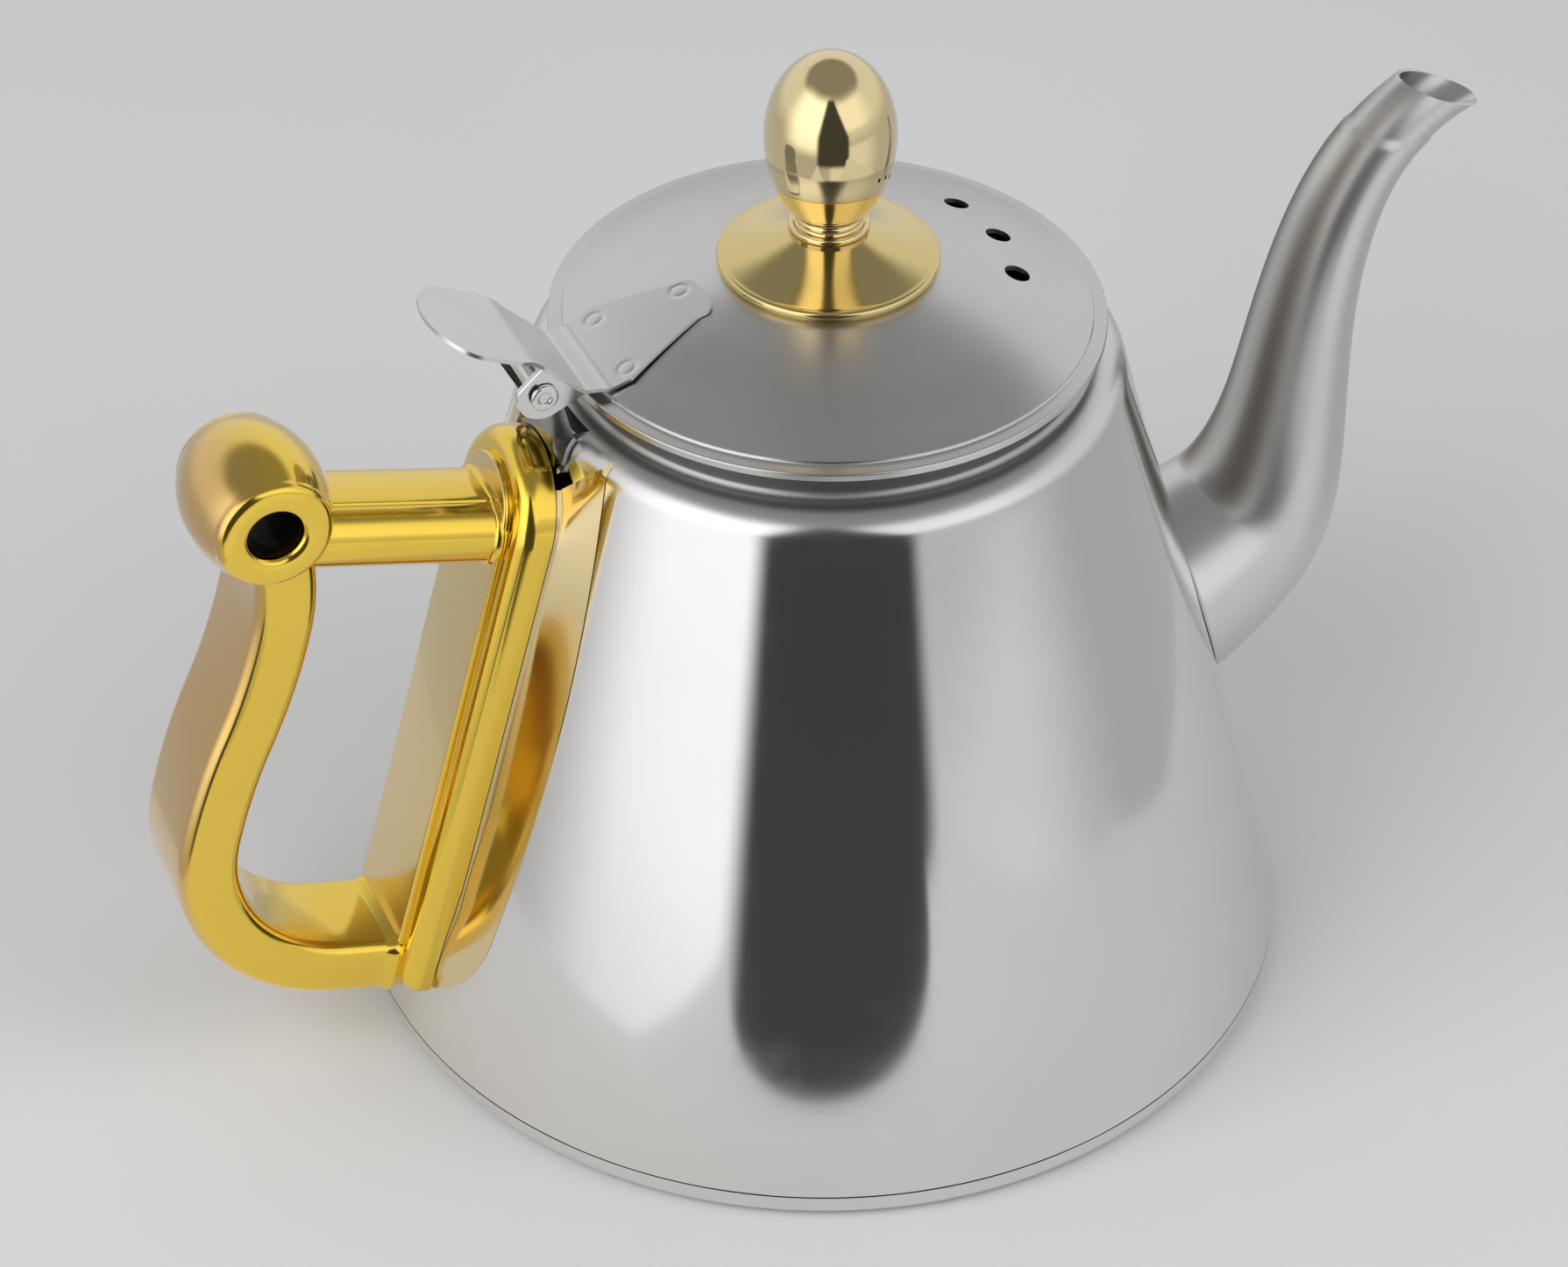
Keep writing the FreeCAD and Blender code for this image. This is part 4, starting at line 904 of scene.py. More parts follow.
class KETTLE_OT_bracket(KettleBuilder, bpy.types.Operator):
    """Bracket: a flare from the post's edge to the wall, carried down, round the foot and up again"""
    bl_idname = "kettle.bracket"
    bl_label = "Handle bracket"
    squareness = (5.0, 4.0, 2.2)   # of the foot of the lip, the waist and the flange, 2 being round
    rows = (4, 36)                 # along the straight lip and along the flare
    lip_share = 0.9                # how far the lip's rows reach towards the flare
    lean_out = 0.55                # where an opened flare's middle lies between the lip and the flange
    thinning = (0.6, 1.0)          # share of the flare over which the sheet thins to its edge

    def outline(self, low_half, top_half, foot, top, swell=0.0, square=2.0):
        """Down one side, round the foot and up the other side, as (sideways, upward)."""
        spring = foot + low_half
        down = run((-top_half, top), (-low_half, spring), 70)
        share = np.linspace(0, 1, 70)
        down[:, 0] -= swell * 4 * share * (1 - share)
        turn = np.radians(np.linspace(180, 360, 61))
        side = np.sign(np.cos(turn)) * np.abs(np.cos(turn)) ** (2 / square)
        low = np.abs(np.sin(turn)) ** (2 / square)
        foot_round = np.stack([low_half * side, spring - low_half * low], 1)
        return chain(down, foot_round, (down * (-1, 1))[::-1])

    def stood(self, s, outline, lift):
        """An outline on the wall's line, set out to a height over the wall."""
        place = on_wall(s, np.concatenate([0 * outline[:, :1], outline], 1))
        out = wall_radius(s, place[:, 2]) + lift / math.cos(s.cone_angle)
        place[:, 0] = -np.sqrt(out ** 2 - place[:, 1] ** 2)
        return place

    def build(self, s, h, t):
        """Quadratic curves from the lip by way of the waist to the flange, thinner at the wall."""
        top = h.bracket_top + h.top_wedge
        spring = h.post_top - h.post_half
        lip_top = spring + math.sqrt(h.post_half ** 2 - h.lip_top_half ** 2)
        square = self.squareness
        lip = self.outline(h.post_half, h.post_half, h.post_foot, lip_top, square=square[0])
        arch = np.sqrt(h.post_half ** 2 - np.maximum(lip[:, 1] - spring, 0) ** 2)
        lip[:, 0] = np.clip(lip[:, 0], -arch, arch)
        foot = h.post_foot + h.post_half - h.waist_half
        waist = self.outline(h.waist_half, h.waist_half, foot, h.bracket_top, square=square[1])
        flange = self.outline(h.flange_low_half, h.flange_top_half, h.flange_foot, top, h.flange_bow,
                              square[2])
        back = h.post_skirt * skirted(h, lip[:, 1:]) + h.braze_gap
        front = on_post(h, s, np.concatenate([back, lip], 1))
        root = on_post(h, s, np.concatenate([back + h.lip * skirted(h, lip[:, 1:]), lip], 1))
        neck = on_wall(s, np.concatenate([0 * back, waist], 1))
        edge = self.stood(s, flange, h.flange_edge)
        opened = h.opening + (1 - h.opening) * ease(lip[:, 1:], lip_top - h.top_flare, lip_top)
        neck = neck + ((1 - self.lean_out) * root + self.lean_out * edge - neck) * opened
        share = np.linspace(0, 1, self.rows[1])[:, None, None]
        flare = (1 - share) ** 2 * root + 2 * share * (1 - share) * neck + share ** 2 * edge
        lip_rows = np.linspace(0, self.lip_share, self.rows[0])[:, None, None]
        straight = front + (root - front) * lip_rows
        sheet = s.sheet + (h.flange_edge - s.sheet) * ease(share, *self.thinning)
        sheet = np.concatenate([0 * lip_rows + s.sheet, sheet])
        grid = np.concatenate([straight, flare])
        spread = np.hypot(grid[..., 0], grid[..., 1])
        least = wall_radius(s, grid[..., 2]) + h.flange_edge
        grid[..., :2] *= np.maximum(least / spread, 1)[..., None]
        skin("bracket_skin", thick(grid, -sheet, False), "kettle",
             plate_finish("bronze_plate", t.bronze, roughness=0.12), ("handle_bracket",))


class KETTLE_OT_lid(KettleBuilder, bpy.types.Operator):
    """Domed lid with steam holes and a creased brim, and the ring under it"""
    bl_idname = "kettle.lid"
    bl_label = "Lid"
    vents = 3                      # steam holes
    cells = (12, 10)               # columns and rows of the cell round a steam hole
    cell_half = 2.4                # half the cell's height, in radii of the hole
    columns = 168                  # of the dome outside the cells
    hollow = (0.38, 0.78)          # middle of the hollow: shares of the crease's width and fall

    def layer(self, s, inset):
        """The pierced dome, an inset under its outside: a polar grid, and a patch round each hole."""
        wide, tall = self.cells
        edge = self.vents * s.vent_step / 2
        near = np.linspace(-edge, edge, self.vents * wide + 1)
        far = np.linspace(edge, 2 * np.pi - edge, self.columns + 1)[1:-1]
        turn = np.r_[near, far]
        reach = self.cell_half * s.vent_radius
        band = np.linspace(s.vent_circle - reach, s.vent_circle + reach, tall + 1)
        inner = np.linspace(s.screw_hole, band[0], 24)
        outer = np.linspace(band[-1], s.dome_edge_radius, 10)

        def on_dome(x, y):
            """Points of a plan raised to the sphere."""
            return np.stack([x, y, dome_height(s, np.hypot(x, y), inset)], -1)

        def polar(radius, angle):
            """Grid of the sphere by radius and angle."""
            return on_dome(radius[:, None] * np.cos(angle), radius[:, None] * np.sin(angle))

        parts = [(polar(inner, turn), False, True), (polar(outer, turn), False, True),
                 (polar(band, np.r_[near[-1], far, near[0]]), False, False)]
        rims = []
        for first in range(0, self.vents * wide, wide):
            plan = cell(band, near[first:first + wide + 1], s.vent_circle, s.vent_radius)
            patch = on_dome(plan[..., 0], plan[..., 1])
            parts.append((patch, False, True))
            rims.append(patch[-1])
        return parts, rims, polar(np.array([s.screw_hole]), turn)[0], turn

    def rim(self, s, inset):
        """Rim outward from the dome's edge: a hollow crease, a flared brim and its round edge."""
        edge = (s.dome_edge_radius, float(dome_height(s, s.dome_edge_radius, inset)))
        crease = (edge[0] + s.brim_crease, edge[1] - s.brim_fall)
        end = (s.lid_radius - s.brim_round, crease[1] - s.brim_drop)
        if inset:
            return chain([edge, crease], [(end[0], s.lid_edge_height)])
        along, down = self.hollow
        hollow = (edge[0] + along * s.brim_crease, edge[1] - down * s.brim_fall)
        return chain(bow(edge, hollow, crease, 6), run(crease, end, 6),
                     arc((end[0], end[1] - s.brim_round), s.brim_round, 86, 0, 8),
                     [(s.lid_radius, s.lid_edge_height)])

    def build(self, s, h, t):
        """Two pierced layers of a sphere, joined in their holes and at the rim, and a turned ring."""
        upper, upper_rims, upper_hole, turn = self.layer(s, 0)
        lower, lower_rims, lower_hole, _ = self.layer(s, s.sheet)
        rim = turned(np.concatenate([self.rim(s, 0), self.rim(s, s.sheet)[::-1]]), turn)
        walls = hole_walls([*upper_rims, upper_hole], [*lower_rims, lower_hole]) + [(rim, False, True)]
        lid = steel("lid_steel", t.lid, roughness=0.28, stretch=0.75, lines=(1.0, 0.0))
        skin("lid_skin", upper + lower + walls, "lid", lid, ("lid_cover",))
        low = s.lid_edge_height - s.skirt_depth
        outside, inside = s.skirt_radius, s.skirt_radius - s.sheet
        ring = chain([(outside, float(dome_height(s, outside, s.sheet))), (outside, low)],
                     [(inside, low), (inside, float(dome_height(s, inside, s.sheet)))])
        skin("skirt_skin", [(turned(ring), True, True)], "lid", lid, ("lid_skirt",))


class KETTLE_OT_knob(KettleBuilder, bpy.types.Operator):
    """Egg knob on its ringed neck, dished collar, and their screw and washer under the lid"""
    bl_idname = "kettle.knob"
    bl_label = "Knob"
    lift = 0.3 * MM                # collar's round edge over the dome
    seat_gap = 0.02 * MM           # collar's underside over the dome
    cove_rise = 0.1 * MM           # deepest place of the cove over the lower ring

    def build(self, s, h, t):
        """Collar and egg, copies of the washer and the screw, and a finish for the sleeve."""
        self.collar(s, plate_finish("collar_gold", t.collar, roughness=0.12))
        self.egg(s, plate_finish("champagne_plate", t.pale, roughness=0.06))
        bright = steel("fastener_steel", t.hinge, roughness=0.25, stretch=0.0, lines=(1.0, 0.0))
        node_copy("washer_skin", "knob_washer", "lid", bright)
        node_copy("screw_skin", "knob_screw", "lid", bright)
        repaint("knob_insert", plate_finish("insert_brass", t.brass, roughness=0.3))

    def collar(self, s, gold):
        """Profile along the dome, round the edge, and up a hollow flank to the neck, turned."""
        seat = float(dome_height(s, s.collar_radius - s.collar_edge)) + self.lift
        edge = (s.collar_radius - s.collar_edge, seat + s.collar_edge)
        rolled = arc(edge, s.collar_edge, -90, 100, 18)
        neck = (s.collar_neck, s.collar_top - s.collar_edge)
        dip = ((rolled[-1] + neck) / 2) - (0, s.collar_edge / 2)
        under = np.linspace(s.screw_hole, edge[0], 12)
        seat_line = np.stack([under, dome_height(s, under) + self.seat_gap], 1)
        profile = chain(seat_line, rolled, bow(rolled[-1], dip, neck, 24),
                        [(s.collar_neck, s.collar_top), (s.screw_hole, s.collar_top)])
        skin("collar_skin", [(turned(profile), True, True)], "lid", gold, ("knob_collar",))

    def egg(self, s, pale):
        """Two rings with a cove between them, then two half ellipses of different heights, turned."""
        foot = math.acos((s.egg_centre - s.egg_foot) / s.egg_lower)
        low = np.linspace(math.pi - foot, math.pi / 2, 40)
        high = np.linspace(math.pi / 2, 0, 40)
        ring = s.neck_ring
        low_ring = arc((s.collar_neck - ring, s.collar_top + ring), ring, -90, 90, 12)
        high_ring = arc((s.knob_neck, s.egg_foot - ring), ring, -90, 90, 12)
        cove = bow(low_ring[-1], (s.knob_neck, low_ring[-1, 1] + self.cove_rise), high_ring[0], 6)
        halves = [np.stack([s.egg_radius * np.sin(turn), s.egg_centre + tall * np.cos(turn)], 1)
                  for turn, tall in ((low, s.egg_lower), (high, s.egg_upper))]
        profile = chain([(0, s.collar_top)], low_ring, cove, high_ring, *halves)
        profile[-1, 0] = 0
        skin("egg_skin", [(turned(profile), False, True)], "lid", pale, ("knob",))


class KETTLE_OT_hinge(KettleBuilder, bpy.types.Operator):
    """Thumb lever with its ears, the rivet with its dimpled heads and the lower leaf"""
    bl_idname = "kettle.hinge"
    bl_label = "Hinge and lever"
    flatness = 0.3                 # share of the dome's curve that the plate follows sideways
    plate_gap = 0.05 * MM          # plate over the dome
    leaving = (-2.2 * MM, 0.2 * MM)    # round the dome's edge, where the plate leaves the lid
    bend_soft = 0.5 * MM           # softness of the bends along the strip
    thickening = 4 * MM            # stretch before the neck in which the plate takes the tab's thickness
    weld_soft = 0.3                # width of a weld's ring, in radii
    hole_gap = 0.05 * MM           # rivet in the ears' holes
    ear_soft = 0.12 * MM           # bevel of the ears

    def build(self, s, h, t):
        """Lever, ears and rivet, and a copy of the leaf."""
        # The leaf's darker tint is painted shade, standing in for its dark reflection
        looks = (("hinge_steel", t.hinge, 0.12), ("lever_steel", t.hinge, 0.27),
                 ("shaded_leaf_steel", t.leaf, 0.18))
        bright, satin, dull = (steel(*look, stretch=0.0, lines=(0.3, 0.3)) for look in looks)
        self.lever(s, satin)
        self.ears(s, bright)
        self.rivet(s, bright)
        node_copy("leaf_skin", "hinge_bracket", "kettle", dull)

    def rivet(self, s, bright):
        """Half the profile from a head's dimple to the shank's middle, mirrored, turned and laid."""
        inner, outer = s.pin_half, s.pin_half + s.pin_head
        roll = s.pin_head / 2
        floor = outer - s.pin_dimple
        side = chain([(0, floor), (s.pin_bore, floor), (s.pin_bore, outer - roll)],
                     arc((s.pin_bore + roll, outer - roll), roll, 180, 90, 6),
                     arc((s.pin_head_radius - roll, outer - roll), roll, 90, 0, 6),
                     [(s.pin_head_radius, inner), (s.pin_radius, inner), (s.pin_radius, 0)])
        profile = chain(side, (side * (1, -1))[::-1])
        grid = laid(turned(profile, circle(64)), s.pin_reach, s.pin_height)
        skin("rivet_skin", [(grid, False, True)], "kettle", bright, ("hinge_pin",))

    def lever(self, s, satin):
        """Strip over the lid: height from the sphere, knee, rise and tab, and width from the plan."""
        tip_end = s.lever_tip + s.lever_tip_round
        tab_end = s.tab_reach - s.tab_round
        tip = tip_end - s.lever_tip_round * np.cos(np.linspace(0, np.pi / 2, 18))
        end = tab_end + s.tab_round * np.sin(np.linspace(0, np.pi / 2, 18))
        reach = np.unique(np.r_[tip, np.linspace(tip_end, s.lever_neck, 90), s.dome_edge_radius,
                                np.linspace(s.lever_neck, tab_end, 60), end])
        ear = s.ear_inner + s.strip
        half = np.interp(
            reach, [tip_end, s.lever_wide, s.lever_neck, s.pin_reach, s.rise_reach + 2 * s.strip],
            [s.lever_tip_half, s.lever_half, ear, ear, s.tab_half])
        blunt = np.clip((tip_end - reach) / s.lever_tip_round, 0, 1)
        half = np.where(reach < tip_end, s.lever_tip_half * (1 - blunt ** 4) ** 0.25, half)
        round_end = np.sqrt(np.maximum(1 - ((reach - tab_end) / s.tab_round) ** 2, 0))
        half = np.where(reach > tab_end, s.tab_half * round_end, half)
        across = np.linspace(-1, 1, 81)
        y = half[:, None] * across
        x = -np.broadcast_to(reach[:, None], y.shape)
        knee = s.lever_neck + s.strip
        bent = np.interp(reach, [knee, s.rise_reach, s.tab_reach],
                         [s.knee_height, s.rise_height, s.tab_height])
        soft = np.exp(-0.5 * ((reach[:, None] - reach) / self.bend_soft) ** 2)
        weight = soft * np.gradient(reach)
        bent = (weight @ bent) / weight.sum(1)
        spread = np.hypot(x, self.flatness * y)
        dome = dome_height(s, np.minimum(spread, s.dome_edge_radius)) + self.plate_gap
        share = ease(reach, *(s.dome_edge_radius + past for past in self.leaving))[:, None]
        z = dome * (1 - share) + bent[:, None] * share
        spots = WELD_SPOTS * MM
        away = np.hypot(x[..., None] - spots[:, 0], y[..., None] - spots[:, 1])
        z = z - s.weld_depth * np.exp(-((away / s.weld_radius - 1) / self.weld_soft) ** 2).sum(-1)
        grid = np.stack([x, y, z], -1)
        grown = ease(reach, s.lever_neck - self.thickening, s.lever_neck)
        strip = (s.plate + (s.tab - s.plate) * grown)[:, None, None]
        skin("lever_skin", thick(grid, self.upward(grid) * strip, False), "lid", satin,
             ("lid_lever",))

    def upward(self, grid):
        """Sign that makes the sheet grow upward from the grid."""
        return -1 if grid_normals(grid, False)[..., 2].mean() > 0 else 1

    def ears(self, s, bright):
        """Two flat ears: an outline joined ring by ring to the pin's hole, on both sides."""
        pin = np.array((-s.pin_reach, s.pin_height))
        knee = (-s.lever_neck - s.strip, s.knee_height)
        share = (s.ear_top - s.lever_neck) / (s.rise_reach - s.lever_neck)
        rise = (-s.ear_top, s.knee_height + share * (s.rise_height - s.knee_height))
        low = arc(pin, s.ear_radius, 160, 300, 40)
        outline = chain(low, run(low[-1], knee, 14), run(knee, rise, 16), run(rise, low[0], 10))[:-1]
        turn = np.arctan2(outline[:, 1] - pin[1], outline[:, 0] - pin[0])
        hole = pin + (s.pin_radius + self.hole_gap) * rays(turn)
        soft = self.ear_soft
        inset = outline + (pin - outline) * (soft / np.linalg.norm(outline - pin, axis=1, keepdims=True))
        for side, name in ((-1, "ear_near"), (1, "ear_far")):
            inner, outer = side * s.ear_inner, side * (s.ear_inner + s.strip)
            rings = ((hole, outer), (inset, outer), (outline, outer - side * soft), (outline, inner),
                     (hole, inner))
            grid = np.stack([np.insert(ring, 1, place, axis=1) for ring, place in rings])
            skin(name, [(grid, True, True)], "lid", bright)


def node(tree, kind, values=None, **settings):
    """One shader node with its settings, and its sockets linked or set."""
    made = tree.nodes.new("ShaderNode" + kind)
    for key, value in settings.items():
        setattr(made, key, value)
    for key, value in (values or {}).items():
        if isinstance(value, bpy.types.NodeSocket):
            tree.links.new(value, made.inputs[key])
        else:
            made.inputs[key].default_value = value
    return made


def maths(tree, operation, *values):
    """Result of one math node."""
    return node(tree, "Math", dict(enumerate(values)), operation=operation).outputs[0]


def noise(tree, vector, scale, detail):
    """Result of one noise node."""
    values = {"Vector": vector, "Scale": scale, "Detail": detail, "Roughness": 0.6}
    return node(tree, "TexNoise", values).outputs["Fac"]


def draw_turning_lines(group, given, results):
    """Fine lines round the kettle's axis: noise of the radius and height, drawn out along the circle."""
    x, y, z = node(group, "SeparateXYZ", {0: node(group, "TexCoord").outputs["Object"]}).outputs
    squares = [maths(group, "MULTIPLY", value, value) for value in (x, y)]
    radius = maths(group, "MAXIMUM", maths(group, "SQRT", maths(group, "ADD", *squares)), 1e-5)
    line = maths(group, "ADD", maths(group, "MULTIPLY", radius, given[0]),
                 maths(group, "MULTIPLY", z, given[1]))
    ways = [maths(group, "DIVIDE", value, radius) for value in (x, y)]
    fine, broad = 1.0, 0.04
    for result, share in zip(results, (fine, broad)):
        scaled = maths(group, "MULTIPLY", maths(group, "MULTIPLY", line, given[2]), share)
        vector = node(group, "CombineXYZ", {0: scaled, 1: ways[0], 2: ways[1]}).outputs[0]
        group.links.new(noise(group, vector, 1.0, 3.0), result)


def draw_blotches(group, given, results):
    """Soft patches: noise pushed apart between a low and a high level."""
    place = node(group, "TexCoord").outputs["Object"]
    level = node(group, "MapRange", {"Value": noise(group, place, given[0], 5.0), "From Min": given[1],
                                     "From Max": given[2]})
    group.links.new(level.outputs[0], results[0])


# Shared effects: what draws the group, its inputs with their defaults, and its outputs
EFFECTS = {
    "turning_lines": (draw_turning_lines, {"Along radius": 0.0, "Along height": 1.0, "Lines": 4000.0},
                      ("Height", "Broad")),
    "blotches": (draw_blotches, {"Scale": 40.0, "Low": 0.5, "High": 0.7}, ("Mask",)),
}


def effect(name):
    """A shared shader group with float sockets, drawn when it is first asked for."""
    group = bpy.data.node_groups.get(name)
    if group:
        return group
    draw, inputs, outputs = EFFECTS[name]
    group = bpy.data.node_groups.new(name, "ShaderNodeTree")
    for key, value in inputs.items():
        socket = group.interface.new_socket(key, in_out="INPUT", socket_type="NodeSocketFloat")
        socket.default_value = value
    for key in outputs:
        group.interface.new_socket(key, in_out="OUTPUT", socket_type="NodeSocketFloat")
    given, results = group.nodes.new("NodeGroupInput"), group.nodes.new("NodeGroupOutput")
    draw(group, list(given.outputs)[:len(inputs)], list(results.inputs)[:len(outputs)])
    return group


def use(tree, name, *values):
    """Outputs of a shared effect, placed in a material with its own values for the inputs."""
    made = tree.nodes.new("ShaderNodeGroup")
    made.node_tree = effect(name)
    for socket, value in zip(made.inputs, values):
        socket.default_value = value
    return made.outputs


def finish(name, colour, metallic, roughness):
    """A material of one colour, metallic value and roughness, with its node tree and its shader."""
    material = bpy.data.materials.new(name)
    material.use_nodes = True
    tree = material.node_tree
    shader = tree.nodes["Principled BSDF"]
    shader.inputs["Base Color"].default_value = (*colour, 1)
    shader.inputs["Metallic"].default_value = metallic
    shader.inputs["Roughness"].default_value = roughness
    return material, tree, shader


def mixed(tree, low, high, share):
    """A value between low and high by a share that varies over the surface."""
    return node(tree, "MapRange", {"Value": share, "To Min": low, "To Max": high}).outputs[0]


def tinted(tree, low, high, share):
    """A colour between two, each a socket or plain values, by a share that varies over the surface."""
    colours = {6 + index: colour if isinstance(colour, bpy.types.NodeSocket) else (*colour, 1)
               for index, colour in enumerate((low, high))}
    return node(tree, "Mix", {0: share, **colours}, data_type="RGBA").outputs[2]


def stored(tree, name):
    """A mask that a piece carries."""
    return node(tree, "Attribute", attribute_name=name).outputs["Fac"]


def rougher(tree, rough, share, most):
    """Roughness with a share of some more."""
    return maths(tree, "ADD", rough, maths(tree, "MULTIPLY", share, most))


def coated(tree, base, rough, name, colour, most):
    """Base colour and roughness where a stored mask lays on another colour and some roughness."""
    share = stored(tree, name)
    return tinted(tree, base, colour, share), rougher(tree, rough, share, most)


def wired(tree, shader, base, rough, height, relief):
    """Link a shader's colour, its roughness and its relief of a strength and a depth."""
    values = {"Height": height, "Strength": relief[0], "Distance": relief[1]}
    bump = node(tree, "Bump", values).outputs[0]
    for key, socket in (("Base Color", base), ("Roughness", rough), ("Normal", bump)):
        if socket:
            tree.links.new(socket, shader.inputs[key])


def steel(name, colour, roughness, stretch, lines, shade_tint=None):
    """Stainless steel: turning lines in roughness and bump, faint clouds, optional stains and painted
    shade.
    """
    material, tree, shader = finish(name, colour, 1.0, roughness)
    shader.inputs["Anisotropic"].default_value = stretch
    shader.inputs["Anisotropic Rotation"].default_value = 0.25
    height, broad = use(tree, "turning_lines", *lines, LINES)
    dark = [value * CLOUD_TINT for value in colour]
    base = tinted(tree, colour, dark, use(tree, "blotches", *CLOUDS)[0])
    rough = mixed(tree, *(roughness * share for share in STEEL_ROUGH), broad)
    if shade_tint:
        rough = rougher(tree, rough, use(tree, "blotches", *STAINS)[0], STAIN_ROUGH)
        # Painted shade: the dark tint where the piece's stored mask says
        base, rough = coated(tree, base, rough, "painted_shade", shade_tint, STEEL_SHADE_ROUGH)
        rough = rougher(tree, rough, stored(tree, "satin"), SATIN_ROUGH)
    wired(tree, shader, base, rough, height, STEEL_BUMP)
    return material


def plate_finish(name, colour, roughness, dull=None, painted_shade=None):
    """Lacquered plate: wavy gloss and drifting tint, a second tint from a stored mask (painted shade on
    the handle's outer sides, the panel's own colour on the post), and painted shade in the bores.
    """
    material, tree, shader = finish(name, colour, 1.0, roughness)
    shader.inputs["Coat Weight"].default_value = 1.0
    shader.inputs["Coat Roughness"].default_value = 0.06
    drift = use(tree, "blotches", *DRIFT)[0]
    base = tinted(tree, colour, np.multiply(colour, PLATE_TINT).tolist(), drift)
    haze = use(tree, "blotches", *HAZE)[0]
    rough = mixed(tree, *(roughness * share for share in PLATE_ROUGH), haze)
    if dull:
        # A second tint: painted shade on the handle's outer sides, the panel's own colour on the post
        base, rough = coated(tree, base, rough, "rubbed", dull, SHADE_AND_PANEL_ROUGH)
    # Painted shade in recesses, such as the barrel's bores
    if painted_shade:
        base, rough = coated(tree, base, rough, "painted_shade", painted_shade, PLATE_SHADE_ROUGH)
    wired(tree, shader, base, rough, drift, PLATE_BUMP)
    return material


def rough_plastic(name, colour):
    """Unplated plastic: matt, pitted, with paler specks."""
    material, tree, shader = finish(name, colour, 0.0, 0.7)
    specks = use(tree, "blotches", *SPECKS)[0]
    pale = [min(1.0, value * 6 + 0.03) for value in colour]
    wired(tree, shader, tinted(tree, colour, pale, specks), None, specks, PLASTIC_BUMP)
    return material


def panel(name, corners, material):
    """A flat stage panel through its corners."""
    mesh = bpy.data.meshes.new(name)
    mesh.from_pydata(corners, [], [tuple(range(len(corners)))])
    mesh.materials.append(material)
    made = bpy.data.objects.new(name, mesh)
    bpy.context.scene.collection.objects.link(made)
    return made


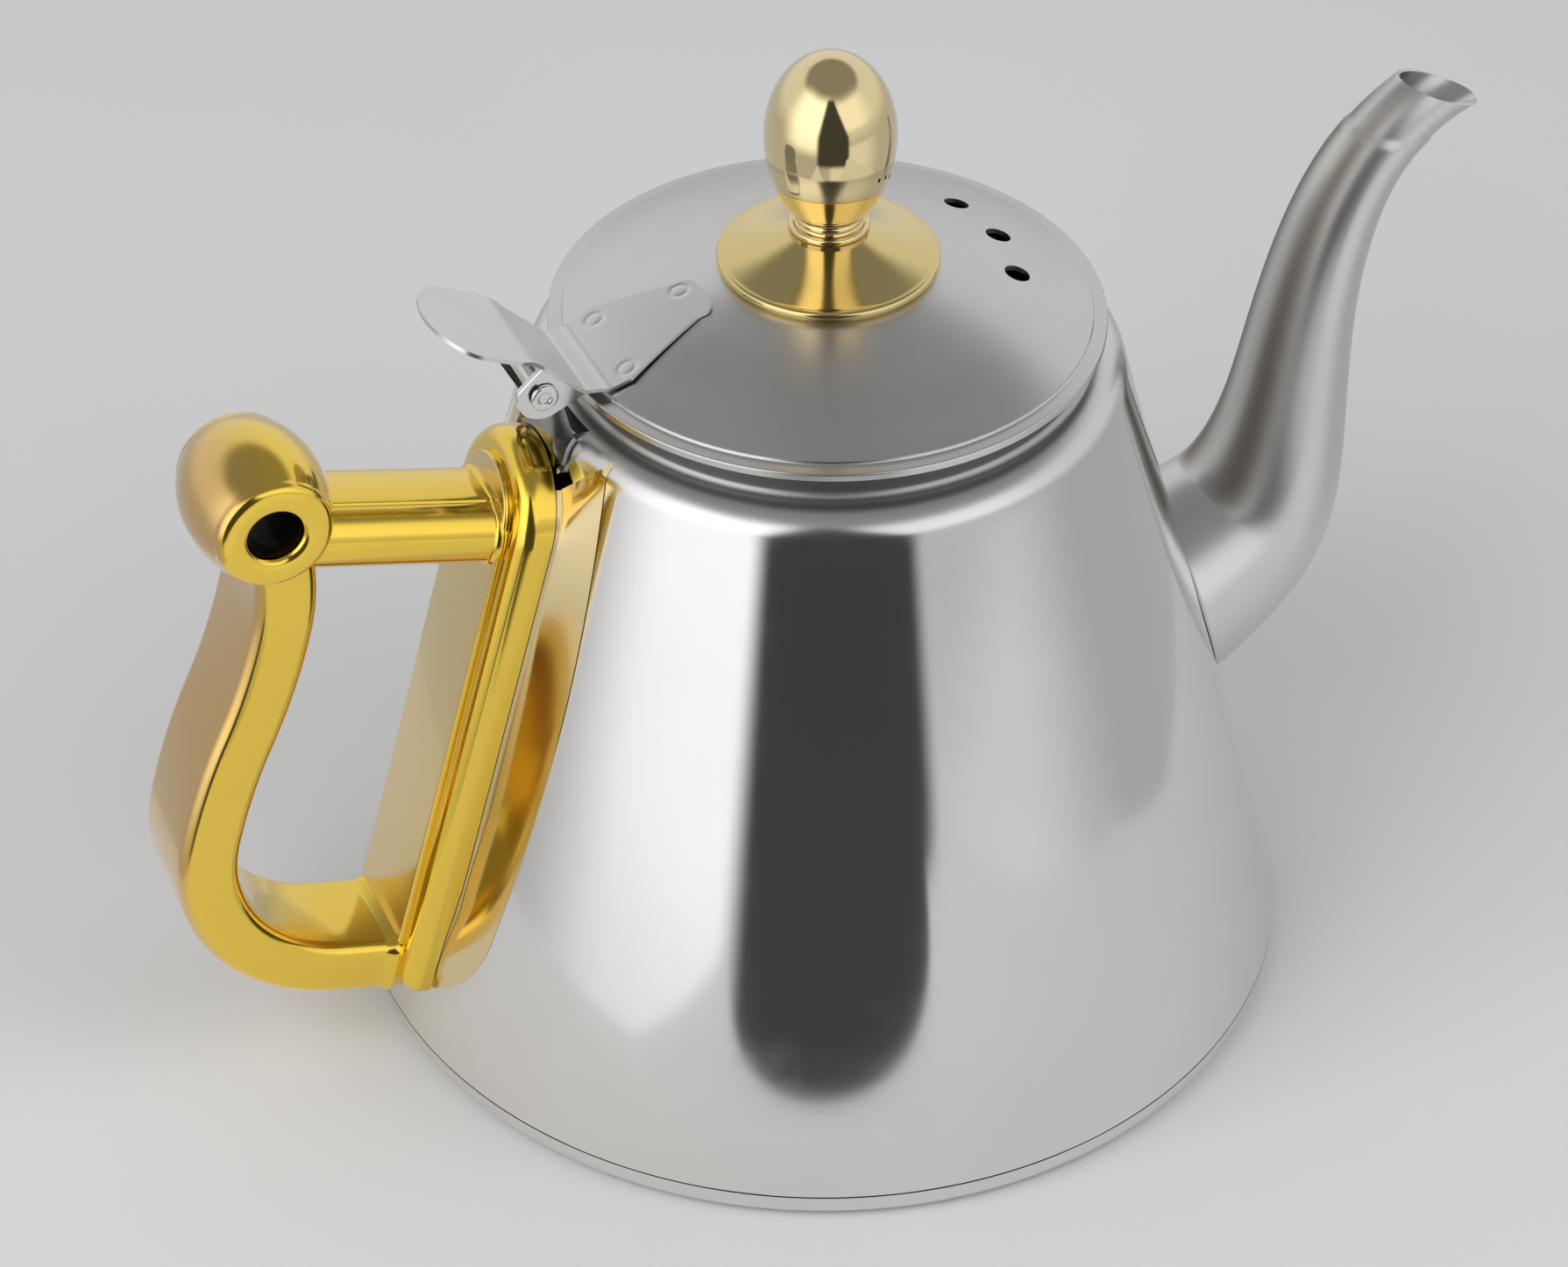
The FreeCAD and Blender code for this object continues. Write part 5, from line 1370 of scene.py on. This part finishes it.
class KETTLE_OT_stage(bpy.types.Operator):
    """Pale floor, soft tent and lamps, and the camera"""
    bl_idname = "kettle.stage"
    bl_label = "Stage and camera"
    clip = (0.01, 20.0)            # nearest and farthest the camera sees, in metres
    floor_reach = 3.0              # half the wide floor's side
    floor_sink = 0.2 * MM          # floor under the kettle
    wing = (1.7, 0.3)              # ends of the mirrored floor's right side, in reaches to the right
    # Lamps: turn from the camera and rise in degrees, and watts; their side and distance in metres
    lamps = {"left_softbox": (-52, 42, 5.0), "right_softbox": (62, 45, 3.5)}
    lamp_side, lamp_away = 0.8, 1.1
    # Bands of the tent in degrees of rise, or of turn from the camera, over which one level gives way
    horizon, eaves, wall_top = (-12, 12), (36, 49), (40, 58)
    left_end, front, right_end = (-95, -52), (-5, 5), (52, 95)
    left_foot, right_dip, right_foot = (-24, -8), (-12, -7), (2, 10)
    dip_level = 0.2                # right wall's brightness in its dip, as a share
    slit_foot, slit_top = (-33, -27), (44, 52)
    slit_soft = (4, 3)             # half width of the slit's left and right edge
    slit_lean = (-0.26, 0.5)       # sideways shift of these edges per degree of rise

    def execute(self, context):
        scene = context.scene
        studio, tints = scene.kettle_studio, scene.kettle_tints
        self.camera(scene, studio)
        self.floor(studio, tints.floor, tints.near_floor)
        self.tent(scene, studio, tints.floor)
        for name, (turn, rise, power) in self.lamps.items():
            self.lamp(name, studio.azimuth + math.radians(turn), math.radians(rise), power)
        scene.view_settings.view_transform = "Standard"
        return {"FINISHED"}

    def towards(self, turn, rise):
        """Direction from the kettle: turned from -Y, and raised over the horizon."""
        level = math.cos(rise)
        return Vector((math.sin(turn) * level, -math.cos(turn) * level, math.sin(rise)))

    def camera(self, scene, studio):
        """Camera axes: back along the sight line, right level with the floor, turned by the roll."""
        a, r = studio.azimuth, studio.roll
        back = self.towards(a, studio.elevation)
        right = Vector((math.cos(a), math.sin(a), 0))
        up = back.cross(right)
        across = right * math.cos(r) + up * math.sin(r)
        upward = up * math.cos(r) - right * math.sin(r)
        turn = Matrix((across, upward, back)).transposed().to_4x4()
        data = bpy.data.cameras.new("camera")
        data.lens, data.sensor_width, data.sensor_fit = studio.lens, SENSOR, "HORIZONTAL"
        data.clip_start, data.clip_end = self.clip
        camera = bpy.data.objects.new("camera", data)
        camera.matrix_world = Matrix.Translation(Vector(studio.target) + back * studio.distance) @ turn
        scene.collection.objects.link(camera)
        scene.camera = camera

    def floor(self, studio, colour, mirrored):
        """Wide floor for the eye and the light, and its near part for the polished metal to mirror."""
        material, tree, shader = finish("pale_floor", colour, 0.0, 0.9)
        pale = [value * 0.98 for value in colour]
        shade = tinted(tree, colour, pale, use(tree, "blotches", *WEAVE)[0])
        tree.links.new(shade, shader.inputs["Base Color"])
        corners = np.array(((-1, -1), (1, -1), (1, 1), (-1, 1))) * self.floor_reach
        wide = panel("floor", np.c_[corners, np.full(4, -self.floor_sink)], material)
        wide.visible_glossy = False
        near = panel("near_floor", self.table(studio), finish("near_floor", mirrored, 0.0, 0.9)[0])
        near.visible_camera = near.visible_diffuse = near.visible_shadow = False

    def table(self, studio):
        """Outline of the mirrored floor: a hollow edge towards the camera, then a circle behind."""
        side = np.linspace(-studio.table_left, studio.table_right, 51)
        curve = np.where(side < 0, studio.curve_left, studio.curve_right)
        front = np.stack([studio.table_front + curve * side ** 2, side], 1)
        wing = [(share * studio.table_wing, studio.table_wing) for share in self.wing]
        turn = np.linspace(np.pi / 2, 2 * np.pi - math.asin(studio.table_left / studio.table), 72)
        edge = np.concatenate([front, wing, studio.table * rays(turn)])
        a = studio.azimuth
        return edge @ np.array(((math.sin(a), -math.cos(a), 0), (math.cos(a), math.sin(a), 0)))

    def tent(self, scene, studio, colour):
        """Brightness by direction: wall, roof and floor levels, two bright front walls, a dark slit."""
        world = bpy.data.worlds.new("tent")
        scene.world = world
        world.use_nodes = True
        tree = world.node_tree
        way = node(tree, "TexCoord").outputs["Generated"]
        a = studio.azimuth

        def along(axis):
            """Part of the direction along an axis."""
            return node(tree, "VectorMath", {0: way, 1: axis}, operation="DOT_PRODUCT").outputs["Value"]

        def step(value, band, start=0, end=1):
            """Smooth step from start to end over a band."""
            values = {"Value": value, "From Min": band[0], "From Max": band[1], "To Min": start,
                      "To Max": end}
            return node(tree, "MapRange", values, interpolation_type="SMOOTHSTEP").outputs[0]

        def product(first, *others):
            """All values multiplied."""
            for other in others:
                first = maths(tree, "MULTIPLY", first, other)
            return first

        turn = maths(tree, "DEGREES", maths(tree, "ARCTAN2", along((math.cos(a), math.sin(a), 0)),
                                            along((math.sin(a), -math.cos(a), 0))))
        rise = maths(tree, "DEGREES", maths(tree, "ARCSINE", along((0, 0, 1))))
        level = maths(tree, "SUBTRACT", step(rise, self.horizon, studio.below, studio.walls),
                      step(rise, self.eaves, 0, studio.walls - studio.roof))
        left = product(step(turn, self.left_end, 0, studio.left_wall), step(turn, self.front, 1, 0),
                       step(rise, self.left_foot))
        beyond = maths(tree, "MAXIMUM", step(rise, self.right_dip, 1, self.dip_level),
                       step(rise, self.right_foot))
        right = product(step(turn, self.front, 0, studio.right_wall), step(turn, self.right_end, 1, 0),
                        beyond)
        walls = product(maths(tree, "ADD", left, right), step(rise, self.wall_top, 1, 0))
        level = maths(tree, "ADD", level, walls)
        over = maths(tree, "MAXIMUM", rise, 0.0)
        slit = product(step(rise, self.slit_top, 1, 0), step(rise, self.slit_foot))
        sides = zip((studio.opening_left, studio.opening_right), self.slit_soft, self.slit_lean,
                    ((0, 1), (1, 0)))
        for edge, soft, lean, ends in sides:
            place = maths(tree, "ADD", turn, product(over, lean))
            band = (math.degrees(edge) - soft, math.degrees(edge) + soft)
            slit = product(slit, step(place, band, *ends))
        level = mixed(tree, level, studio.opening, slit)
        seen = node(tree, "LightPath").outputs["Is Camera Ray"]
        tree.links.new(tinted(tree, level, colour, seen), tree.nodes["Background"].inputs["Color"])

    def lamp(self, name, turn, rise, power):
        """Square soft lamp some way off in a direction, facing the kettle and not seen in the metal."""
        way = self.towards(turn, rise)
        data = bpy.data.lights.new(name, "AREA")
        data.shape, data.energy = "RECTANGLE", power
        data.size = data.size_y = self.lamp_side
        lamp = bpy.data.objects.new(name, data)
        facing = way.to_track_quat("Z", "Y").to_matrix().to_4x4()
        lamp.matrix_world = Matrix.Translation(way * self.lamp_away) @ facing
        lamp.visible_glossy = False
        bpy.context.scene.collection.objects.link(lamp)


class KETTLE_PT_panel(bpy.types.Panel):
    """Sidebar list of the kettle's pieces"""
    bl_label = "Kettle"
    bl_idname = "KETTLE_PT_panel"
    bl_space_type = "VIEW_3D"
    bl_region_type = "UI"
    bl_category = "Kettle"

    def draw(self, context):
        for operator in OPERATORS:
            self.layout.operator(operator.bl_idname)


GROUPS = {"kettle_sizes": KettleSizes, "kettle_handle": KettleHandleSizes, "kettle_tints": KettleTints,
          "kettle_studio": KettleStudio}
OPERATORS = (KETTLE_OT_body, KETTLE_OT_spout, KETTLE_OT_handle, KETTLE_OT_bracket, KETTLE_OT_lid,
             KETTLE_OT_knob, KETTLE_OT_hinge, KETTLE_OT_stage)


def register():
    """Register the classes and hang the property groups on the scene."""
    for kind in (*GROUPS.values(), *OPERATORS, KETTLE_PT_panel):
        bpy.utils.register_class(kind)
    for name, kind in GROUPS.items():
        setattr(bpy.types.Scene, name, PointerProperty(type=kind))


def unregister():
    """Take the property groups and the classes away again."""
    for name in GROUPS:
        delattr(bpy.types.Scene, name)
    for kind in reversed((*GROUPS.values(), *OPERATORS, KETTLE_PT_panel)):
        bpy.utils.unregister_class(kind)


def main():
    register()
    for operator in OPERATORS:
        space, name = operator.bl_idname.split(".")
        getattr(getattr(bpy.ops, space), name)()


if __name__ == "__main__":
    main()
